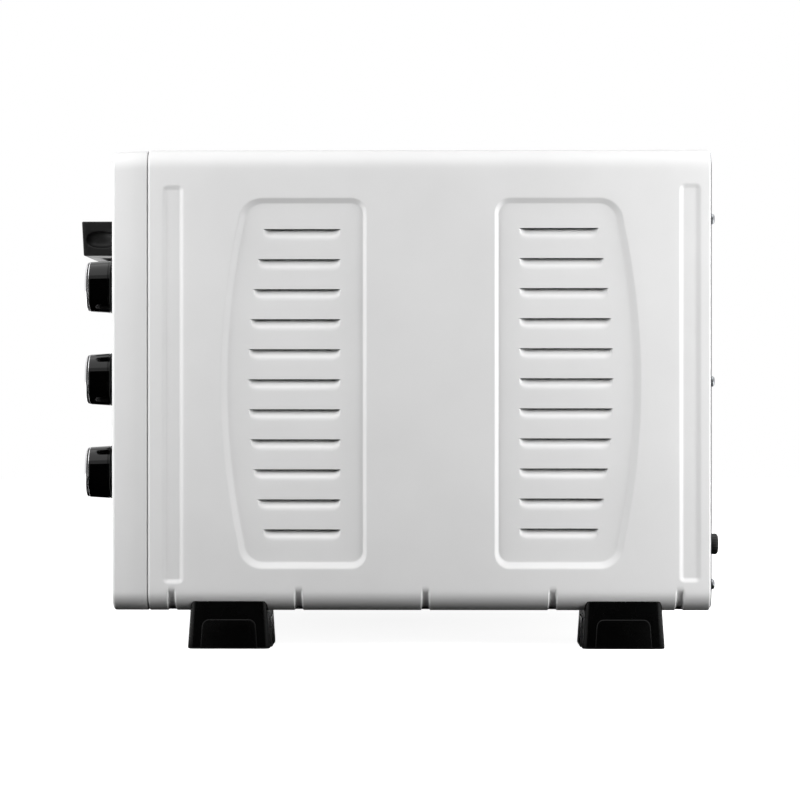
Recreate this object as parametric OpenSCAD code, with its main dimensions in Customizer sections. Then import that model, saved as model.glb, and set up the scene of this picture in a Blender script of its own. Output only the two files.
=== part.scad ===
// Bench-top reflow oven: white sheet-metal case, drop-down glass door, three rotary controls.
// Millimetres. +Z is up, the door faces -Y, the control column is at +X.
// The origin is under the middle of the whole object, on the surface it stands on.

/* [Case] */
// Width of the case over the cover
case_w = 540; // [480:1:620]
// Depth of the case from the front face of the frame to the rear edge of the cover
case_d = 450; // [400:1:520]
// Height of the case, without the feet
case_h = 348; // [315:1:400]
// Thickness of the cover sheet
sheet_t = 0.8; // [0.6:0.1:1.2]
// Outer radius of the long bends of the cover
bend_r = 15; // [12:0.5:20]
// Width of the flanges that the cover folds under the base
under_flange = 22; // [16:1:30]
// Width of the return flange round the rear edge of the cover
rear_flange = 18; // [14:1:24]
// Depth of the front frame
frame_d = 26.4; // [20:0.1:34]
// Wall thickness of the front frame
frame_t = 1.6; // [1.2:0.1:2.4]
// Width of the seam between frame and cover
seam = 0.5; // [0.3:0.1:1]
// Radius of the soft edge round the front frame
frame_edge = 2.5; // [1.5:0.1:4]

/* [Side pressings] */
// Width of the two long upright beads of each side
bead_w = 17.8; // [12:0.1:24]
// Depth of the beads
bead_depth = 1.6; // [1:0.1:3]
// From the front edge of the cover to the middle of the front bead
bead_front = 19; // [12:0.5:30]
// From the rear edge of the cover to the middle of the rear bead
bead_rear = 15.5; // [12:0.5:24]
// Length of the beads
bead_len = 301; // [240:1:305]
// Width of the two pressed louvre fields of each side, at their middle
field_w = 110.8; // [90:0.5:130]
// Height of the louvre fields
field_h = 280; // [264:1:300]
// Depth of the louvre fields
field_depth = 2; // [1:0.1:4]
// Radius of the bowed outer edge of a louvre field
field_bow_r = 571; // [450:1:900]
// Corner radius of a louvre field at its straight edge
field_corner = 9; // [5:0.5:14]
// Corner radius of a louvre field at its bowed edge
field_corner_bow = 16; // [8:0.5:24]
// Gap between the straight edges of the two louvre fields
field_gap = 95.4; // [60:0.1:150]
// How far the middle of the two louvre fields lies behind the middle of the case
field_shift = 14.8; // [-10:0.1:25]
// Louvres in each field
louvre_count = 11; // [5:1:12]
// Distance from louvre to louvre
louvre_pitch = 22.6; // [18:0.1:23.5]
// Length of the longest louvre
louvre_len = 68.8; // [50:0.1:75]
// Distance from the straight edge of the field to the louvres
louvre_margin = 20.5; // [14:0.5:26]
// Height of one louvre pocket
louvre_h = 9.4; // [6:0.1:12]
// Depth of one louvre blade behind the field
louvre_depth = 3.6; // [2:0.1:5]
// Clear slit over the lip of a blade
louvre_slit = 1.7; // [1:0.1:3]
// Short darts pressed across each lower bend
dart_count = 5; // [3:1:7]
// Distance from dart to dart
dart_pitch = 95.6; // [60:0.1:100]
// From the front face of the case to the first dart
dart_first = 44.7; // [36:0.1:60]
// Radius of the dart groove
dart_r = 2.6; // [1.5:0.1:4]
// Depth of the dart groove at the middle of the bend
dart_depth = 2.2; // [1:0.1:3]

/* [Feet] */
// Height of the feet under the case
foot_h = 28.4; // [20:0.1:45]
// Length of a foot along the side, at the ground
foot_w = 62; // [45:1:75]
// Length of a foot across the case
foot_l = 74; // [60:1:90]
// How far a foot narrows from the ground to its top, on each side
foot_draft = 2.4; // [0:0.1:4]
// How far a foot climbs the bend of the cover
foot_climb = 7.6; // [3:0.1:8]
// From the front face of the case to the middle of the front feet
foot_front = 87.9; // [60:0.1:120]
// From the rear edge of the case to the middle of the rear feet
foot_rear = 65.3; // [50:0.1:110]
// Width of the raised panel on the faces of a foot
foot_panel_w = 43; // [30:1:50]
// Height of the raised panel on the faces of a foot
foot_panel_h = 22; // [14:0.5:24]
// How far the raised panel stands proud
foot_panel_out = 0.9; // [0.4:0.1:1.5]
// How far the rubber pads reach under the feet
pad_out = 0.4; // [0.4:0.1:2]
// Height of a rubber pad
pad_t = 3; // [2:0.1:5]

/* [Door] */
// Gap between the door and the control column
door_side_gap = 8; // [6:0.5:14]
// Height of the door
door_h = 298; // [285:1:304]
// Thickness of the door
door_t = 12; // [11:0.1:16]
// Gap between the closed door and the frame
door_gap = 2; // [1.6:0.1:3]
// From the left edge of the case to the door
door_margin = 14; // [13:0.5:20]
// From the lower edge of the case to the door
door_lift = 18; // [16:0.5:24]
// Height of the hinge axis over the lower edge of the door
hinge_rise = 5.6; // [5.2:0.1:6]
// From the hinge axis to the rear face of the door
hinge_back = 5; // [4.6:0.1:5.4]
// Radius of the hinge pins
hinge_pin_r = 2; // [1.5:0.1:2.4]
// Thickness of each pane of door glass
glass_t = 4; // [3:0.1:4.5]
// Sheet thickness of the inner door panel
door_sheet = 1; // [0.8:0.1:1.2]
// Width of the inner door panel beside its window
door_stile = 40; // [35:1:60]
// Height of the window in the inner door panel
window_h = 206; // [170:1:215]
// Height of the door seal over the frame
seal_t = 1.6; // [1:0.1:1.6]

/* [Handle] */
// Length of the door handle
handle_len = 320; // [240:1:360]
// Height of the door handle
handle_h = 28; // [20:0.1:34]
// How far the handle stands out from the door glass
handle_out = 30.4; // [24:0.1:40]
// Depth of the grip bar
handle_bar = 11; // [8:0.5:14]
// Width of the posts at both ends of the handle
handle_post = 34; // [20:1:45]
// From the top of the door to the middle of the handle
handle_drop = 25.6; // [20:0.1:36]
// Depth of the oval hollow in each end of the handle
handle_hollow = 2.5; // [1:0.1:4]

/* [Controls] */
// Width of the control column beside the door
panel_w = 118; // [100:1:128]
// Width of the control fascia
fascia_w = 92; // [80:1:96]
// Thickness of the control fascia
fascia_t = 1.2; // [0.8:0.1:1.5]
// Largest diameter of a knob
knob_d = 40.6; // [32:0.1:50]
// Length of a knob without its trim ring
knob_len = 15.6; // [10:0.1:20]
// How far the side of a knob narrows towards its face
knob_draft = 1; // [0:0.1:2]
// Distance from knob to knob
knob_pitch = 71.5; // [56:0.5:80]
// Depth of the bright trim ring at the face of a knob
ring_len = 3.1; // [2:0.1:5]
// Height of the fixed bezel behind a knob
bezel_h = 4.3; // [2:0.1:6]
// Running gap between a knob and its bezel
knob_gap = 0.5; // [0.3:0.1:1]
// Radius of the control shafts
shaft_r = 3; // [2.5:0.1:4]
// Radial clearance of every turning shaft in its bush
running = 0.05; // [0.03:0.01:0.1]
// Diameter of the pilot lamp lens
lamp_d = 9; // [6:0.5:12]

/* [Oven cavity] */
// How far the closed door laps over each side wall of the oven cavity
door_lap = 14; // [13:0.5:24]
// Clear height of the oven cavity
cavity_h = 268; // [250:1:270]
// Depth of the oven cavity behind the frame plate
cavity_d = 390; // [340:1:395]
// Radius of the heater rods
heater_r = 4; // [3:0.1:5]
// Distance between each heater and the roof or floor of the cavity
heater_inset = 22; // [16:1:30]
// Distance between the two heaters of a pair
heater_spread = 175; // [120:1:210]
// Height of the rack over the cavity floor
rack_level = 104; // [80:1:120]
// Distance between rack levels
rack_pitch = 45; // [35:1:50]
// Radius of the rack's frame wire
rack_wire_r = 3; // [2:0.1:4]
// Radius of the rack's cross wires
rack_bar_r = 1.5; // [1:0.1:2]
// Number of cross wires
rack_bars = 19; // [11:2:25]
// Depth of the rack
rack_d = 318; // [280:1:325]
// Space between the board tray and each side wall of the cavity
tray_side = 25; // [21:1:50]
// Depth of the board tray
tray_d = 280; // [220:1:300]
// Height of the rim of the board tray
tray_h = 16; // [10:1:24]
// Radius of the convection fan
fan_r = 62; // [45:1:70]

/* [Rear] */
// Radius of the head of the cord bush
gland_r = 8.2; // [7.5:0.1:10]
// How far the cord bush stands out from the rear panel
gland_out = 9.6; // [6:0.1:12]
// Radius of the bore of the cord bush
gland_bore_r = 3.6; // [3:0.1:4.5]
// Height of the cord bush over the lower edge of the case
gland_z = 48.3; // [40:0.1:70]
// From the side of the case to the cord bush
gland_side = 50; // [40:1:80]

/* [Hidden] */
$fn = 48;

// Places along Y: the front face of the frame, the rear edge of the cover and the front of the door glass.
total_d = door_gap + door_t + handle_out + case_d + sheet_t + gland_out;
y_front = -total_d / 2 + door_gap + door_t + handle_out;
y_rear = y_front + case_d;
y_cover = y_front + frame_d + seam;
y_door = y_front - door_gap - door_t;
// Places along Z and X.
half_w = case_w / 2;
// The door takes the width that the control column leaves, and the cavity lies behind the door.
door_w = case_w - door_margin - door_side_gap - panel_w;
cavity_w = door_w - 2 * door_lap;
window_w = door_w - 2 * door_stile;
tray_w = cavity_w - 2 * tray_side;
z_low = foot_h;
z_high = foot_h + case_h;
z_mid = foot_h + case_h / 2;
cover_inner_z = z_high - sheet_t;
door_x = -half_w + door_margin + door_w / 2;
door_z = z_low + door_lift;
hinge_z = door_z + hinge_rise;
hinge_y = y_front - door_gap - hinge_back;
panel_x = half_w - panel_w / 2 + 2;
// The cavity is centred behind the door and reaches from the frame plate to its back wall.
cavity_z = door_z + (door_h - cavity_h) / 2 + 1;
y_cavity = y_front + frame_t;
y_back = y_cavity + cavity_d;
cavity_top = cavity_z + cavity_h;
// The rack rests on the ledges of the rails.
ledge_t = 1;
rack_clear = 0.3;
rack_z = cavity_z + rack_level + rack_wire_r + rack_clear + ledge_t;
y_rack = y_cavity + 22;
rail_t = 1;
ledge_w = 12;
rack_side_gap = 2;
rack_w = cavity_w - 2 * rail_t - 2 * rack_side_gap;
knob_lift = 0.8;
knob_z = [for (k = [1, 0, -1]) z_mid + knob_lift + k * knob_pitch];
lamp_z = knob_z[0] + 47;
screw_r = 2;
screw_head_r = 4;
screw_head_t = 2.6;
rear_head_t = 3.4;
foot_x = half_w - 0.6 - foot_l / 2;
foot_screw_x = half_w - bend_r - under_flange / 2;
foot_ys = [y_front + foot_front, y_rear - foot_rear];
// The bracket that carries the three controls stands behind the frame plate.
y_bracket = y_front + 14;
bracket_t = 1.2;
y_control = y_bracket + bracket_t;
neck_len = 6;
shaft_in = 12;
y_fan = y_back - 16;
fan_z = cavity_z + cavity_h / 2;
motor_d = 28;
y_motor = y_back + sheet_t + 8;
shield_x = door_x + cavity_w / 2 + 22;

// Helpers ---------------------------------------------------------------------------------------

// Points of an arc about (cx, cz), from angle a0 to a1 in n steps.
function arc(cx, cz, r, a0, a1, n = 8) =
    [for (i = [0:n]) let (a = a0 + (a1 - a0) * i / n) [cx + r * cos(a), cz + r * sin(a)]];

// Points of a rectangle w by h with rounded corners, centred on (cx, cz).
function rounded(w, h, r, cx = 0, cz = 0, n = 6) = concat(
    arc(cx + w / 2 - r, cz + h / 2 - r, r, 0, 90, n),
    arc(cx - w / 2 + r, cz + h / 2 - r, r, 90, 180, n),
    arc(cx - w / 2 + r, cz - h / 2 + r, r, 180, 270, n),
    arc(cx + w / 2 - r, cz - h / 2 + r, r, 270, 360, n)
);

function reversed(list) = [for (i = [len(list) - 1:-1:0]) list[i]];

// Extrudes an X-Z outline from y = a to y = b.
module along_y(a, b) {
    translate([0, b, 0])
        rotate([90, 0, 0])
            linear_extrude(b - a) children();
}

// Extrudes a Y-Z outline from x = a to x = b.
module along_x(a, b) {
    translate([a, 0, 0])
        rotate([90, 0, 90])
            linear_extrude(b - a) children();
}

// A straight round rod along Y, from y = a to y = b.
module rod_y(x, z, r, a, b) {
    translate([x, b, z])
        rotate([90, 0, 0])
            cylinder(r = r, h = b - a);
}

// A straight round rod along X, from x = a to x = b.
module rod_x(y, z, r, a, b) {
    translate([a, y, z])
        rotate([0, 90, 0])
            cylinder(r = r, h = b - a);
}

// A cone along Y with radius ra at y = a and rb at y = b.
module cone_y(x, z, ra, rb, a, b) {
    translate([x, a, z])
        rotate([-90, 0, 0])
            cylinder(r1 = ra, r2 = rb, h = b - a);
}

// A box given by its two opposite corners.
module box(lo, hi) {
    translate(lo) cube(hi - lo);
}

// Unit direction of a path at point i.
function heading(path, i) =
    let (a = path[max(i - 1, 0)], b = path[min(i + 1, len(path) - 1)])
    (b - a) / norm(b - a);

// A round tube swept along a path of points, none of whose directions is along ref.
// r is its radius, or a list with the radius at each point.
module swept_tube(path, r, sides = 8, ref = [1, 0, 0]) {
    n = len(path);
    points = [
        for (i = [0:n - 1])
            let (
                t = heading(path, i),
                u = cross(t, ref) / norm(cross(t, ref)),
                v = cross(t, u),
                radius = is_list(r) ? r[i] : r
            )
            for (k = [0:sides - 1])
                path[i] + radius * (u * cos(360 * k / sides) + v * sin(360 * k / sides))
    ];
    walls = [
        for (i = [0:n - 2], k = [0:sides - 1])
            let (a = i * sides + k, b = i * sides + (k + 1) % sides)
            [a, b, b + sides, a + sides]
    ];
    first = [for (k = [sides - 1:-1:0]) k];
    last = [for (k = [0:sides - 1]) (n - 1) * sides + k];
    polyhedron(points = points, faces = concat(walls, [first, last]));
}

// Cover -----------------------------------------------------------------------------------------

// One edge of the wrapped cover profile, offset inwards by o.
function wrap_edge(o) = concat(
    [[-half_w + bend_r + under_flange, z_low + o]],
    arc(-half_w + bend_r, z_low + bend_r, bend_r - o, 270, 180),
    arc(-half_w + bend_r, z_high - bend_r, bend_r - o, 180, 90),
    arc(half_w - bend_r, z_high - bend_r, bend_r - o, 90, 0),
    arc(half_w - bend_r, z_low + bend_r, bend_r - o, 0, -90),
    [[half_w - bend_r - under_flange, z_low + o]]
);

// Middle of the louvre fields, and half the distance between their straight edges.
field_y = (y_front + y_rear) / 2 + field_shift;
field_z = z_mid - 2.6;
bead_z = z_mid - 3.4;

// How far the bowed edge of a field has come in at height dz from its middle.
function bow(dz) = field_bow_r - sqrt(field_bow_r * field_bow_r - dz * dz);

// Outline of one louvre field in its own plane, its straight edge at 0 and its bow towards +Y.
// grow widens it on all sides.
function field_outline(grow = 0) =
    let (
        h = field_h / 2 + grow,
        rs = field_corner + grow,
        rb = field_corner_bow + grow,
        dz = h - rb,
        tilt = asin((dz - 2) / field_bow_r),
        edge = field_w + grow - bow(dz - 2)
    )
    concat(
        arc(-grow + rs, -h + rs, rs, 180, 270, 5),
        arc(edge - rb, -dz, rb, 270, 360 - tilt, 6),
        [for (k = [-5:5]) let (z = k * (dz - 8) / 5) [field_w + grow - bow(z), z]],
        arc(edge - rb, dz, rb, tilt, 90, 6),
        arc(-grow + rs, h - rs, rs, 90, 180, 5)
    );

// Places a field outline: side -1 is the front field, +1 the rear one.
module field_shape(side, grow = 0) {
    translate([field_y + side * field_gap / 2, field_z])
        scale([side, 1])
            polygon(field_outline(grow));
}

// Height of louvre i's slit, and its length.
function louvre_z(i) = field_z + (louvre_count - 1) / 2 * louvre_pitch + 3.2 - i * louvre_pitch;
function louvre_length(i) = louvre_len - bow((i - (louvre_count - 1) / 2) * louvre_pitch);

// One louvre on the right side: its outer skin when grow is the sheet, its pocket when grow is 0.
module louvre(side, i, grow) {
    face = half_w - field_depth;
    near = field_gap / 2 + louvre_margin - grow;
    far = field_gap / 2 + louvre_margin + louvre_length(i) + grow;
    y0 = field_y + min(side * near, side * far);
    lip = louvre_z(i) - louvre_slit;
    foot = louvre_z(i) - louvre_h;
    skin = [[face - sheet_t / 2, foot - grow], [face - louvre_depth - grow, lip], [face - sheet_t / 2, lip]];
    pocket = [
        [face + 1, foot], [face, foot], [face - louvre_depth, lip],
        [face - louvre_depth, louvre_z(i)], [face + 1, louvre_z(i)]
    ];
    along_y(y0, y0 + far - near) polygon(grow > 0 ? skin : pocket);
}

// The long beads and louvre fields of the right side, as blocks from x = a outwards.
module side_fields(depth_add, grow) {
    for (side = [-1, 1])
        along_x(half_w - field_depth - depth_add, grow > 0 ? half_w - sheet_t / 2 : half_w + 1)
            field_shape(side, grow);
    for (y = [y_cover + bead_front, y_rear - bead_rear])
        along_x(half_w - bead_depth - depth_add, grow > 0 ? half_w - sheet_t / 2 : half_w + 1)
            polygon(rounded(bead_w + 2 * grow, bead_len + 2 * grow, 3 + grow, y, bead_z, 3));
}

// Axis of a dart: a rod across the lower right bend, at 45 degrees.
module dart_rod(y, r) {
    d = bend_r + r - dart_depth - (r - dart_r);
    translate([half_w - bend_r + d / sqrt(2), y, z_low + bend_r - d / sqrt(2)])
        rotate([0, 45, 0])
            cylinder(r = r, h = 1.6 * bend_r, center = true);
}

dart_ys = [for (i = [0:dart_count - 1]) y_front + dart_first + i * dart_pitch];

// Everything that the presses put into the right side of the cover, as added skin.
module side_skin() {
    side_fields(sheet_t, sheet_t);
    for (side = [-1, 1], i = [0:louvre_count - 1])
        louvre(side, i, sheet_t);
    intersection() {
        along_y(y_cover + 1, y_rear - 1) polygon(wrap_edge(0));
        union() {
            for (y = dart_ys) dart_rod(y, dart_r + sheet_t);
        }
    }
}

module side_cuts() {
    side_fields(0, 0);
    for (side = [-1, 1], i = [0:louvre_count - 1])
        louvre(side, i, 0);
    for (y = dart_ys) dart_rod(y, dart_r);
}

module outer_cover() {
    color("whitesmoke")
    difference() {
        union() {
            along_y(y_cover, y_rear)
                polygon(concat(wrap_edge(0), reversed(wrap_edge(sheet_t))));
            along_y(y_rear - sheet_t, y_rear)
                difference() {
                    polygon(rounded(case_w - sheet_t, case_h - sheet_t, bend_r - sheet_t / 2, 0, z_mid));
                    polygon(rounded(case_w - 2 * rear_flange, case_h - 2 * rear_flange, 4, 0, z_mid));
                    translate([-half_w + rear_flange, z_low - 1])
                        square([case_w - 2 * rear_flange, rear_flange + 2]);
                }
            side_skin();
            mirror([1, 0, 0]) side_skin();
        }
        side_cuts();
        mirror([1, 0, 0]) side_cuts();
        foot_screw_holes();
        for (p = rear_screw_places)
            rod_y(p.x, p.y, screw_r + 0.2, y_rear - 2, y_rear + 1);
    }
}

// How far the frame's lip reaches into the cover.
frame_lap = 6;

// Front frame and fascia ------------------------------------------------------------------------

module frame_slab(inset, y, t) {
    along_y(y, y + t)
        polygon(rounded(case_w - 2 * inset, case_h - 2 * inset, bend_r - inset, 0, z_mid));
}

module front_frame() {
    soft = frame_edge * 0.3;
    color("whitesmoke")
    difference() {
        union() {
            hull() {
                frame_slab(frame_edge, y_front, 0.1);
                frame_slab(soft, y_front + soft, 0.1);
                frame_slab(0, y_front + frame_edge, frame_d - frame_edge);
            }
            frame_slab(sheet_t, y_front + frame_d - 1, seam + 1 + frame_lap);
        }
        along_y(y_front + frame_t, y_cover + frame_lap + 1)
            polygon(rounded(case_w - 2 * frame_t, case_h - 2 * frame_t, bend_r - frame_t, 0, z_mid));
        along_y(y_front - 1, y_front + frame_t + 1)
            polygon(rounded(cavity_w, cavity_h, 4, door_x, cavity_z + cavity_h / 2));
        for (z = knob_z) rod_y(panel_x, z, shaft_r + 1, y_front - 1, y_front + frame_t + 1);
        rod_y(panel_x, lamp_z, lamp_d / 2 - 1, y_front - 1, y_front + frame_t + 1);
    }
}

module control_fascia() {
    color("white")
    difference() {
        along_y(y_front - fascia_t, y_front)
            polygon(rounded(fascia_w, door_h, 5, panel_x, door_z + door_h / 2));
        for (z = knob_z) rod_y(panel_x, z, shaft_r + 1, y_front - fascia_t - 1, y_front + 1);
        rod_y(panel_x, lamp_z, lamp_d / 2 - 1, y_front - fascia_t - 1, y_front + 1);
    }
}

// Rear, base and feet ---------------------------------------------------------------------------

rear_gap = 2;
vent_rows = 5;
vent_columns = 9;
vent_pitch_x = 34;
vent_pitch_z = 14;
vent_w = 24;
vent_h = 4;
rear_screw_x = half_w - 12;
rear_screw_places = concat(
    [for (s = [-1, 1], z = [z_mid + 121.5, z_mid - 1, z_low + 20]) [s * rear_screw_x, z]],
    [for (s = [-1, 1], z = [z_high - 10, z_low + 10]) [s * case_w / 5, z]]
);

// A field of rounded vent slots in the X-Z plane, centred on (cx, cz).
module vent_field(cx, cz, columns, rows, a, b) {
    for (i = [0:columns - 1], k = [0:rows - 1])
        along_y(a, b)
            polygon(rounded(vent_w, vent_h, vent_h / 2 - 0.01,
                cx + (i - (columns - 1) / 2) * vent_pitch_x,
                cz + (k - (rows - 1) / 2) * vent_pitch_z, 3));
}

module rear_panel() {
    color("silver")
    difference() {
        along_y(y_rear, y_rear + sheet_t)
            polygon(rounded(case_w - 2 * rear_gap, case_h - 2 * rear_gap, bend_r - rear_gap, 0, z_mid));
        vent_field(door_x, cavity_top - 24, vent_columns, vent_rows, y_rear - 1, y_rear + sheet_t + 1);
        vent_field(door_x, fan_z - 34, 3, vent_rows, y_rear - 1, y_rear + sheet_t + 1);
        for (p = rear_screw_places)
            rod_y(p.x, p.y, screw_r + 0.2, y_rear - 1, y_rear + sheet_t + 1);
        rod_y(gland_x, gland_height, gland_neck_r, y_rear - 1, y_rear + sheet_t + 1);
    }
}

// A pan head of radius r and height h, its flat face at the origin.
module pan_head(r, h) {
    rotate_extrude()
        polygon([
            [0, 0], [r, 0], [r, h * 0.45], [r * 0.93, h * 0.7],
            [r * 0.72, h * 0.9], [r * 0.4, h], [0, h]
        ]);
}

module rear_screws() {
    color("silver")
    for (p = rear_screw_places) {
        rod_y(p.x, p.y, screw_r, y_rear - 7, y_rear + sheet_t + 1);
        translate([p.x, y_rear + sheet_t, p.y])
            rotate([-90, 0, 0])
                pan_head(screw_head_r, rear_head_t);
    }
}

gland_x = half_w - gland_side;
gland_height = z_low + gland_z;
gland_neck_r = gland_r - 2;

module cord_bush() {
    lip = y_rear + sheet_t;
    edge = 1.5;
    color("dimgray")
    difference() {
        union() {
            rod_y(gland_x, gland_height, gland_r, lip, lip + gland_out - edge);
            cone_y(gland_x, gland_height, gland_r, gland_r - edge, lip + gland_out - edge, lip + gland_out);
            rod_y(gland_x, gland_height, gland_neck_r, lip - 8, lip + 1);
            rod_y(gland_x, gland_height, gland_r - 0.6, lip - 8, lip - sheet_t);
        }
        rod_y(gland_x, gland_height, gland_bore_r, lip - 9, lip + gland_out + 1);
    }
}

module foot_screw_holes() {
    for (s = [-1, 1], y = foot_ys)
        translate([s * foot_screw_x, y, 0])
            cylinder(r = screw_r + 0.2, h = z_low + 4);
}

base_z = z_low + sheet_t;
base_w = case_w - 2 * rear_flange - 1;

module base_pan() {
    color("silver")
    difference() {
        union() {
            box([-base_w / 2, y_cover + frame_lap, base_z], [base_w / 2, y_rear, base_z + sheet_t]);
            box([-base_w / 2, y_rear - sheet_t, base_z], [base_w / 2, y_rear, z_low + rear_flange]);
        }
        for (p = rear_screw_places)
            rod_y(p.x, p.y, screw_r + 0.2, y_rear - 2, y_rear + 1);
        foot_screw_holes();
        for (i = [-5:5], k = [-2:2])
            translate([door_x + i * 26, (y_front + y_rear) / 2 + k * 44, base_z - 1])
                linear_extrude(sheet_t + 2)
                    polygon(rounded(4, 30, 1.99, 0, 0, 3));
    }
}

// Slab of a foot: w along Y and l along X at height z.
module foot_slab(w, l, z, t, r = 5) {
    translate([0, 0, z])
        linear_extrude(t)
            polygon(rounded(l, w, r));
}

// A foot on the right side at depth y. It is cut to the under side of the cover.
module foot(y) {
    top = z_low + foot_climb;
    pinch = 2 * foot_draft;
    panel_pinch = pinch * foot_panel_h / top;
    head_z = z_low - 6;
    proud = 2 * foot_panel_out;
    color("black")
    difference() {
        translate([foot_x, y, 0])
        difference() {
            union() {
                hull() {
                    foot_slab(foot_w, foot_l, pad_out, 1);
                    foot_slab(foot_w - pinch, foot_l - pinch, top - 1, 1);
                }
                hull() {
                    foot_slab(foot_panel_w, foot_l + proud, pad_out, 1, 3);
                    foot_slab(foot_panel_w - 2, foot_l + proud - panel_pinch, foot_panel_h - 1, 1, 3);
                }
                hull() {
                    foot_slab(foot_w + proud, foot_panel_w, pad_out, 1, 3);
                    foot_slab(foot_w + proud - panel_pinch, foot_panel_w - 2, foot_panel_h - 1, 1, 3);
                }
            }
            translate([0, 0, -1])
                foot_slab(pad_w, pad_l, 0, pad_t + 1, 3);
        }
        along_y(y_front, y_rear) polygon(wrap_edge(0));
        translate([foot_screw_x, y, -1])
            cylinder(r = screw_head_r + 0.6, h = head_z + 1);
        translate([foot_screw_x, y, 0])
            cylinder(r = screw_r + 0.2, h = z_low + 1);
    }
}

pad_w = 43;
pad_l = 50;

module foot_pads() {
    color("black")
    for (s = [-1, 1], y = foot_ys)
        difference() {
            translate([s * foot_x, y, 0])
                foot_slab(pad_w - 0.4, pad_l - 0.4, 0, pad_t, 2.8);
            translate([s * foot_screw_x, y, -1])
                cylinder(r = screw_head_r + 0.6, h = pad_t + 2);
        }
}

module foot_screws() {
    head_z = z_low - 6;
    color("silver")
    for (s = [-1, 1], y = foot_ys)
        translate([s * foot_screw_x, y, 0]) {
            translate([0, 0, head_z - screw_head_t])
                cylinder(r1 = screw_head_r - 1, r2 = screw_head_r, h = screw_head_t);
            translate([0, 0, head_z - 0.5])
                cylinder(r = screw_r, h = z_low - head_z + 8);
        }
}

// Oven cavity -----------------------------------------------------------------------------------

heater_ys = [for (s = [-1, 1]) y_cavity + cavity_d / 2 - 8 + s * heater_spread / 2];
heater_zs = [cavity_z + heater_inset, cavity_top - heater_inset];
bush_r = 7;
cavity_left = door_x - cavity_w / 2;
cavity_right = door_x + cavity_w / 2;
lip_w = 9;

module heater_holes() {
    for (y = heater_ys, z = heater_zs)
        rod_x(y, z, bush_r, cavity_left - 2, cavity_right + 2);
}

bulb_r = 3;
bulb_x = cavity_right - 10;
bulb_z = cavity_top - 46;
bulb_y = y_cavity + 60;
bulb_end = bulb_y + 90;
bulb_turn = 13;
tube_r = 0.9;
tube_hole_r = 2;

// The left wall, roof and right wall of the cavity, folded from one sheet with a lip at the front.
module cavity_wrap() {
    color("lightgray")
    difference() {
        union() {
            box([cavity_left - sheet_t, y_cavity, cavity_z],
                [cavity_right + sheet_t, y_back, cavity_top + sheet_t]);
            box([cavity_left - lip_w, y_cavity, cavity_z],
                [cavity_right + lip_w, y_cavity + sheet_t, cavity_top + lip_w]);
        }
        box([cavity_left, y_cavity - 1, cavity_z - 1], [cavity_right, y_back + 1, cavity_top]);
        heater_holes();
        rod_x(bulb_end + bulb_turn, bulb_z, tube_hole_r, cavity_right - 1, cavity_right + 2);
    }
}

// The floor has a turned-down lip at the front and stands on two channels on the base pan.
module cavity_floor() {
    channel_h = cavity_z - sheet_t - base_z - sheet_t;
    color("lightgray") {
        box([cavity_left - sheet_t, y_cavity, cavity_z - sheet_t],
            [cavity_right + sheet_t, y_back, cavity_z]);
        box([cavity_left - sheet_t, y_cavity, cavity_z - lip_w],
            [cavity_right + sheet_t, y_cavity + sheet_t, cavity_z]);
        for (x = [cavity_left + 30, cavity_right - 44])
            difference() {
                box([x, y_cavity + 20, cavity_z - sheet_t - channel_h],
                    [x + 14, y_back - 20, cavity_z - sheet_t]);
                box([x + 1, y_cavity + 19, cavity_z - channel_h],
                    [x + 13, y_back - 19, cavity_z - 2 * sheet_t]);
            }
    }
}

module cavity_back() {
    color("lightgray")
    difference() {
        box([cavity_left - lip_w, y_back, cavity_z - lip_w],
            [cavity_right + lip_w, y_back + sheet_t, cavity_top + lip_w]);
        rod_y(door_x, fan_z, fan_shaft_r + 2, y_back - 1, y_back + 2);
        for (i = [0:11])
            rotate_at([door_x, 0, fan_z], i * 30)
                rod_y(door_x + 30, fan_z, 4, y_back - 1, y_back + 2);
    }
}

// Turns its children about a Y axis through a point.
module rotate_at(p, a) {
    translate(p)
        rotate([0, a, 0])
            translate(-p)
                children();
}

// The rails reach from a little behind the mouth of the cavity to a little before its back wall.
y_rail = y_cavity + 16;
y_rail_end = y_back - 46;
rail_foot = 12;
rail_head = 30;
rail_hole_r = 3.5;
rail_hole_pitch = 56;
guide_gap = 1.6;

// A stamped side plate with three ledges; side -1 is the left wall, +1 the right one.
module rack_rail(side) {
    wall = side < 0 ? cavity_left : cavity_right;
    levels = [for (k = [-1:1]) cavity_z + rack_level + k * rack_pitch];
    inner = wall - side * rail_t;
    tip = wall - side * ledge_w;
    guide = 2 * rack_wire_r + 2 * rack_clear + ledge_t + guide_gap;
    color("silver")
    difference() {
        union() {
            box([min(wall, inner), y_rail, levels[0] - rail_foot],
                [max(wall, inner), y_rail_end, levels[2] + rail_head]);
            for (z = levels)
                box([min(wall, tip), y_rail, z], [max(wall, tip), y_rail_end, z + ledge_t]);
            for (z = levels)
                box([min(wall, tip), y_rail, z + guide], [max(wall, tip), y_rail_end, z + guide + ledge_t]);
        }
        for (y = [y_rail + 44:rail_hole_pitch:y_rail_end - 24], z = levels)
            rod_x(y, z - 8, rail_hole_r, min(wall, inner) - 1, max(wall, inner) + 1);
    }
}

rack_corner = 12;

// A straight wire of the rack with round ends, from point a to point b.
module wire(a, b, r) {
    d = b - a;
    translate(a)
        rotate([0, acos(d.z / norm(d)), atan2(d.y, d.x)])
            cylinder(r = r, h = norm(d));
}

// A quarter bend of the frame wire, from angle a to a + 90 about (x, y).
module wire_corner(x, y, a) {
    translate([x, y, rack_z])
        rotate([0, 0, a])
            rotate_extrude(angle = 90)
                translate([rack_corner, 0])
                    circle(r = rack_wire_r);
}

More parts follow.
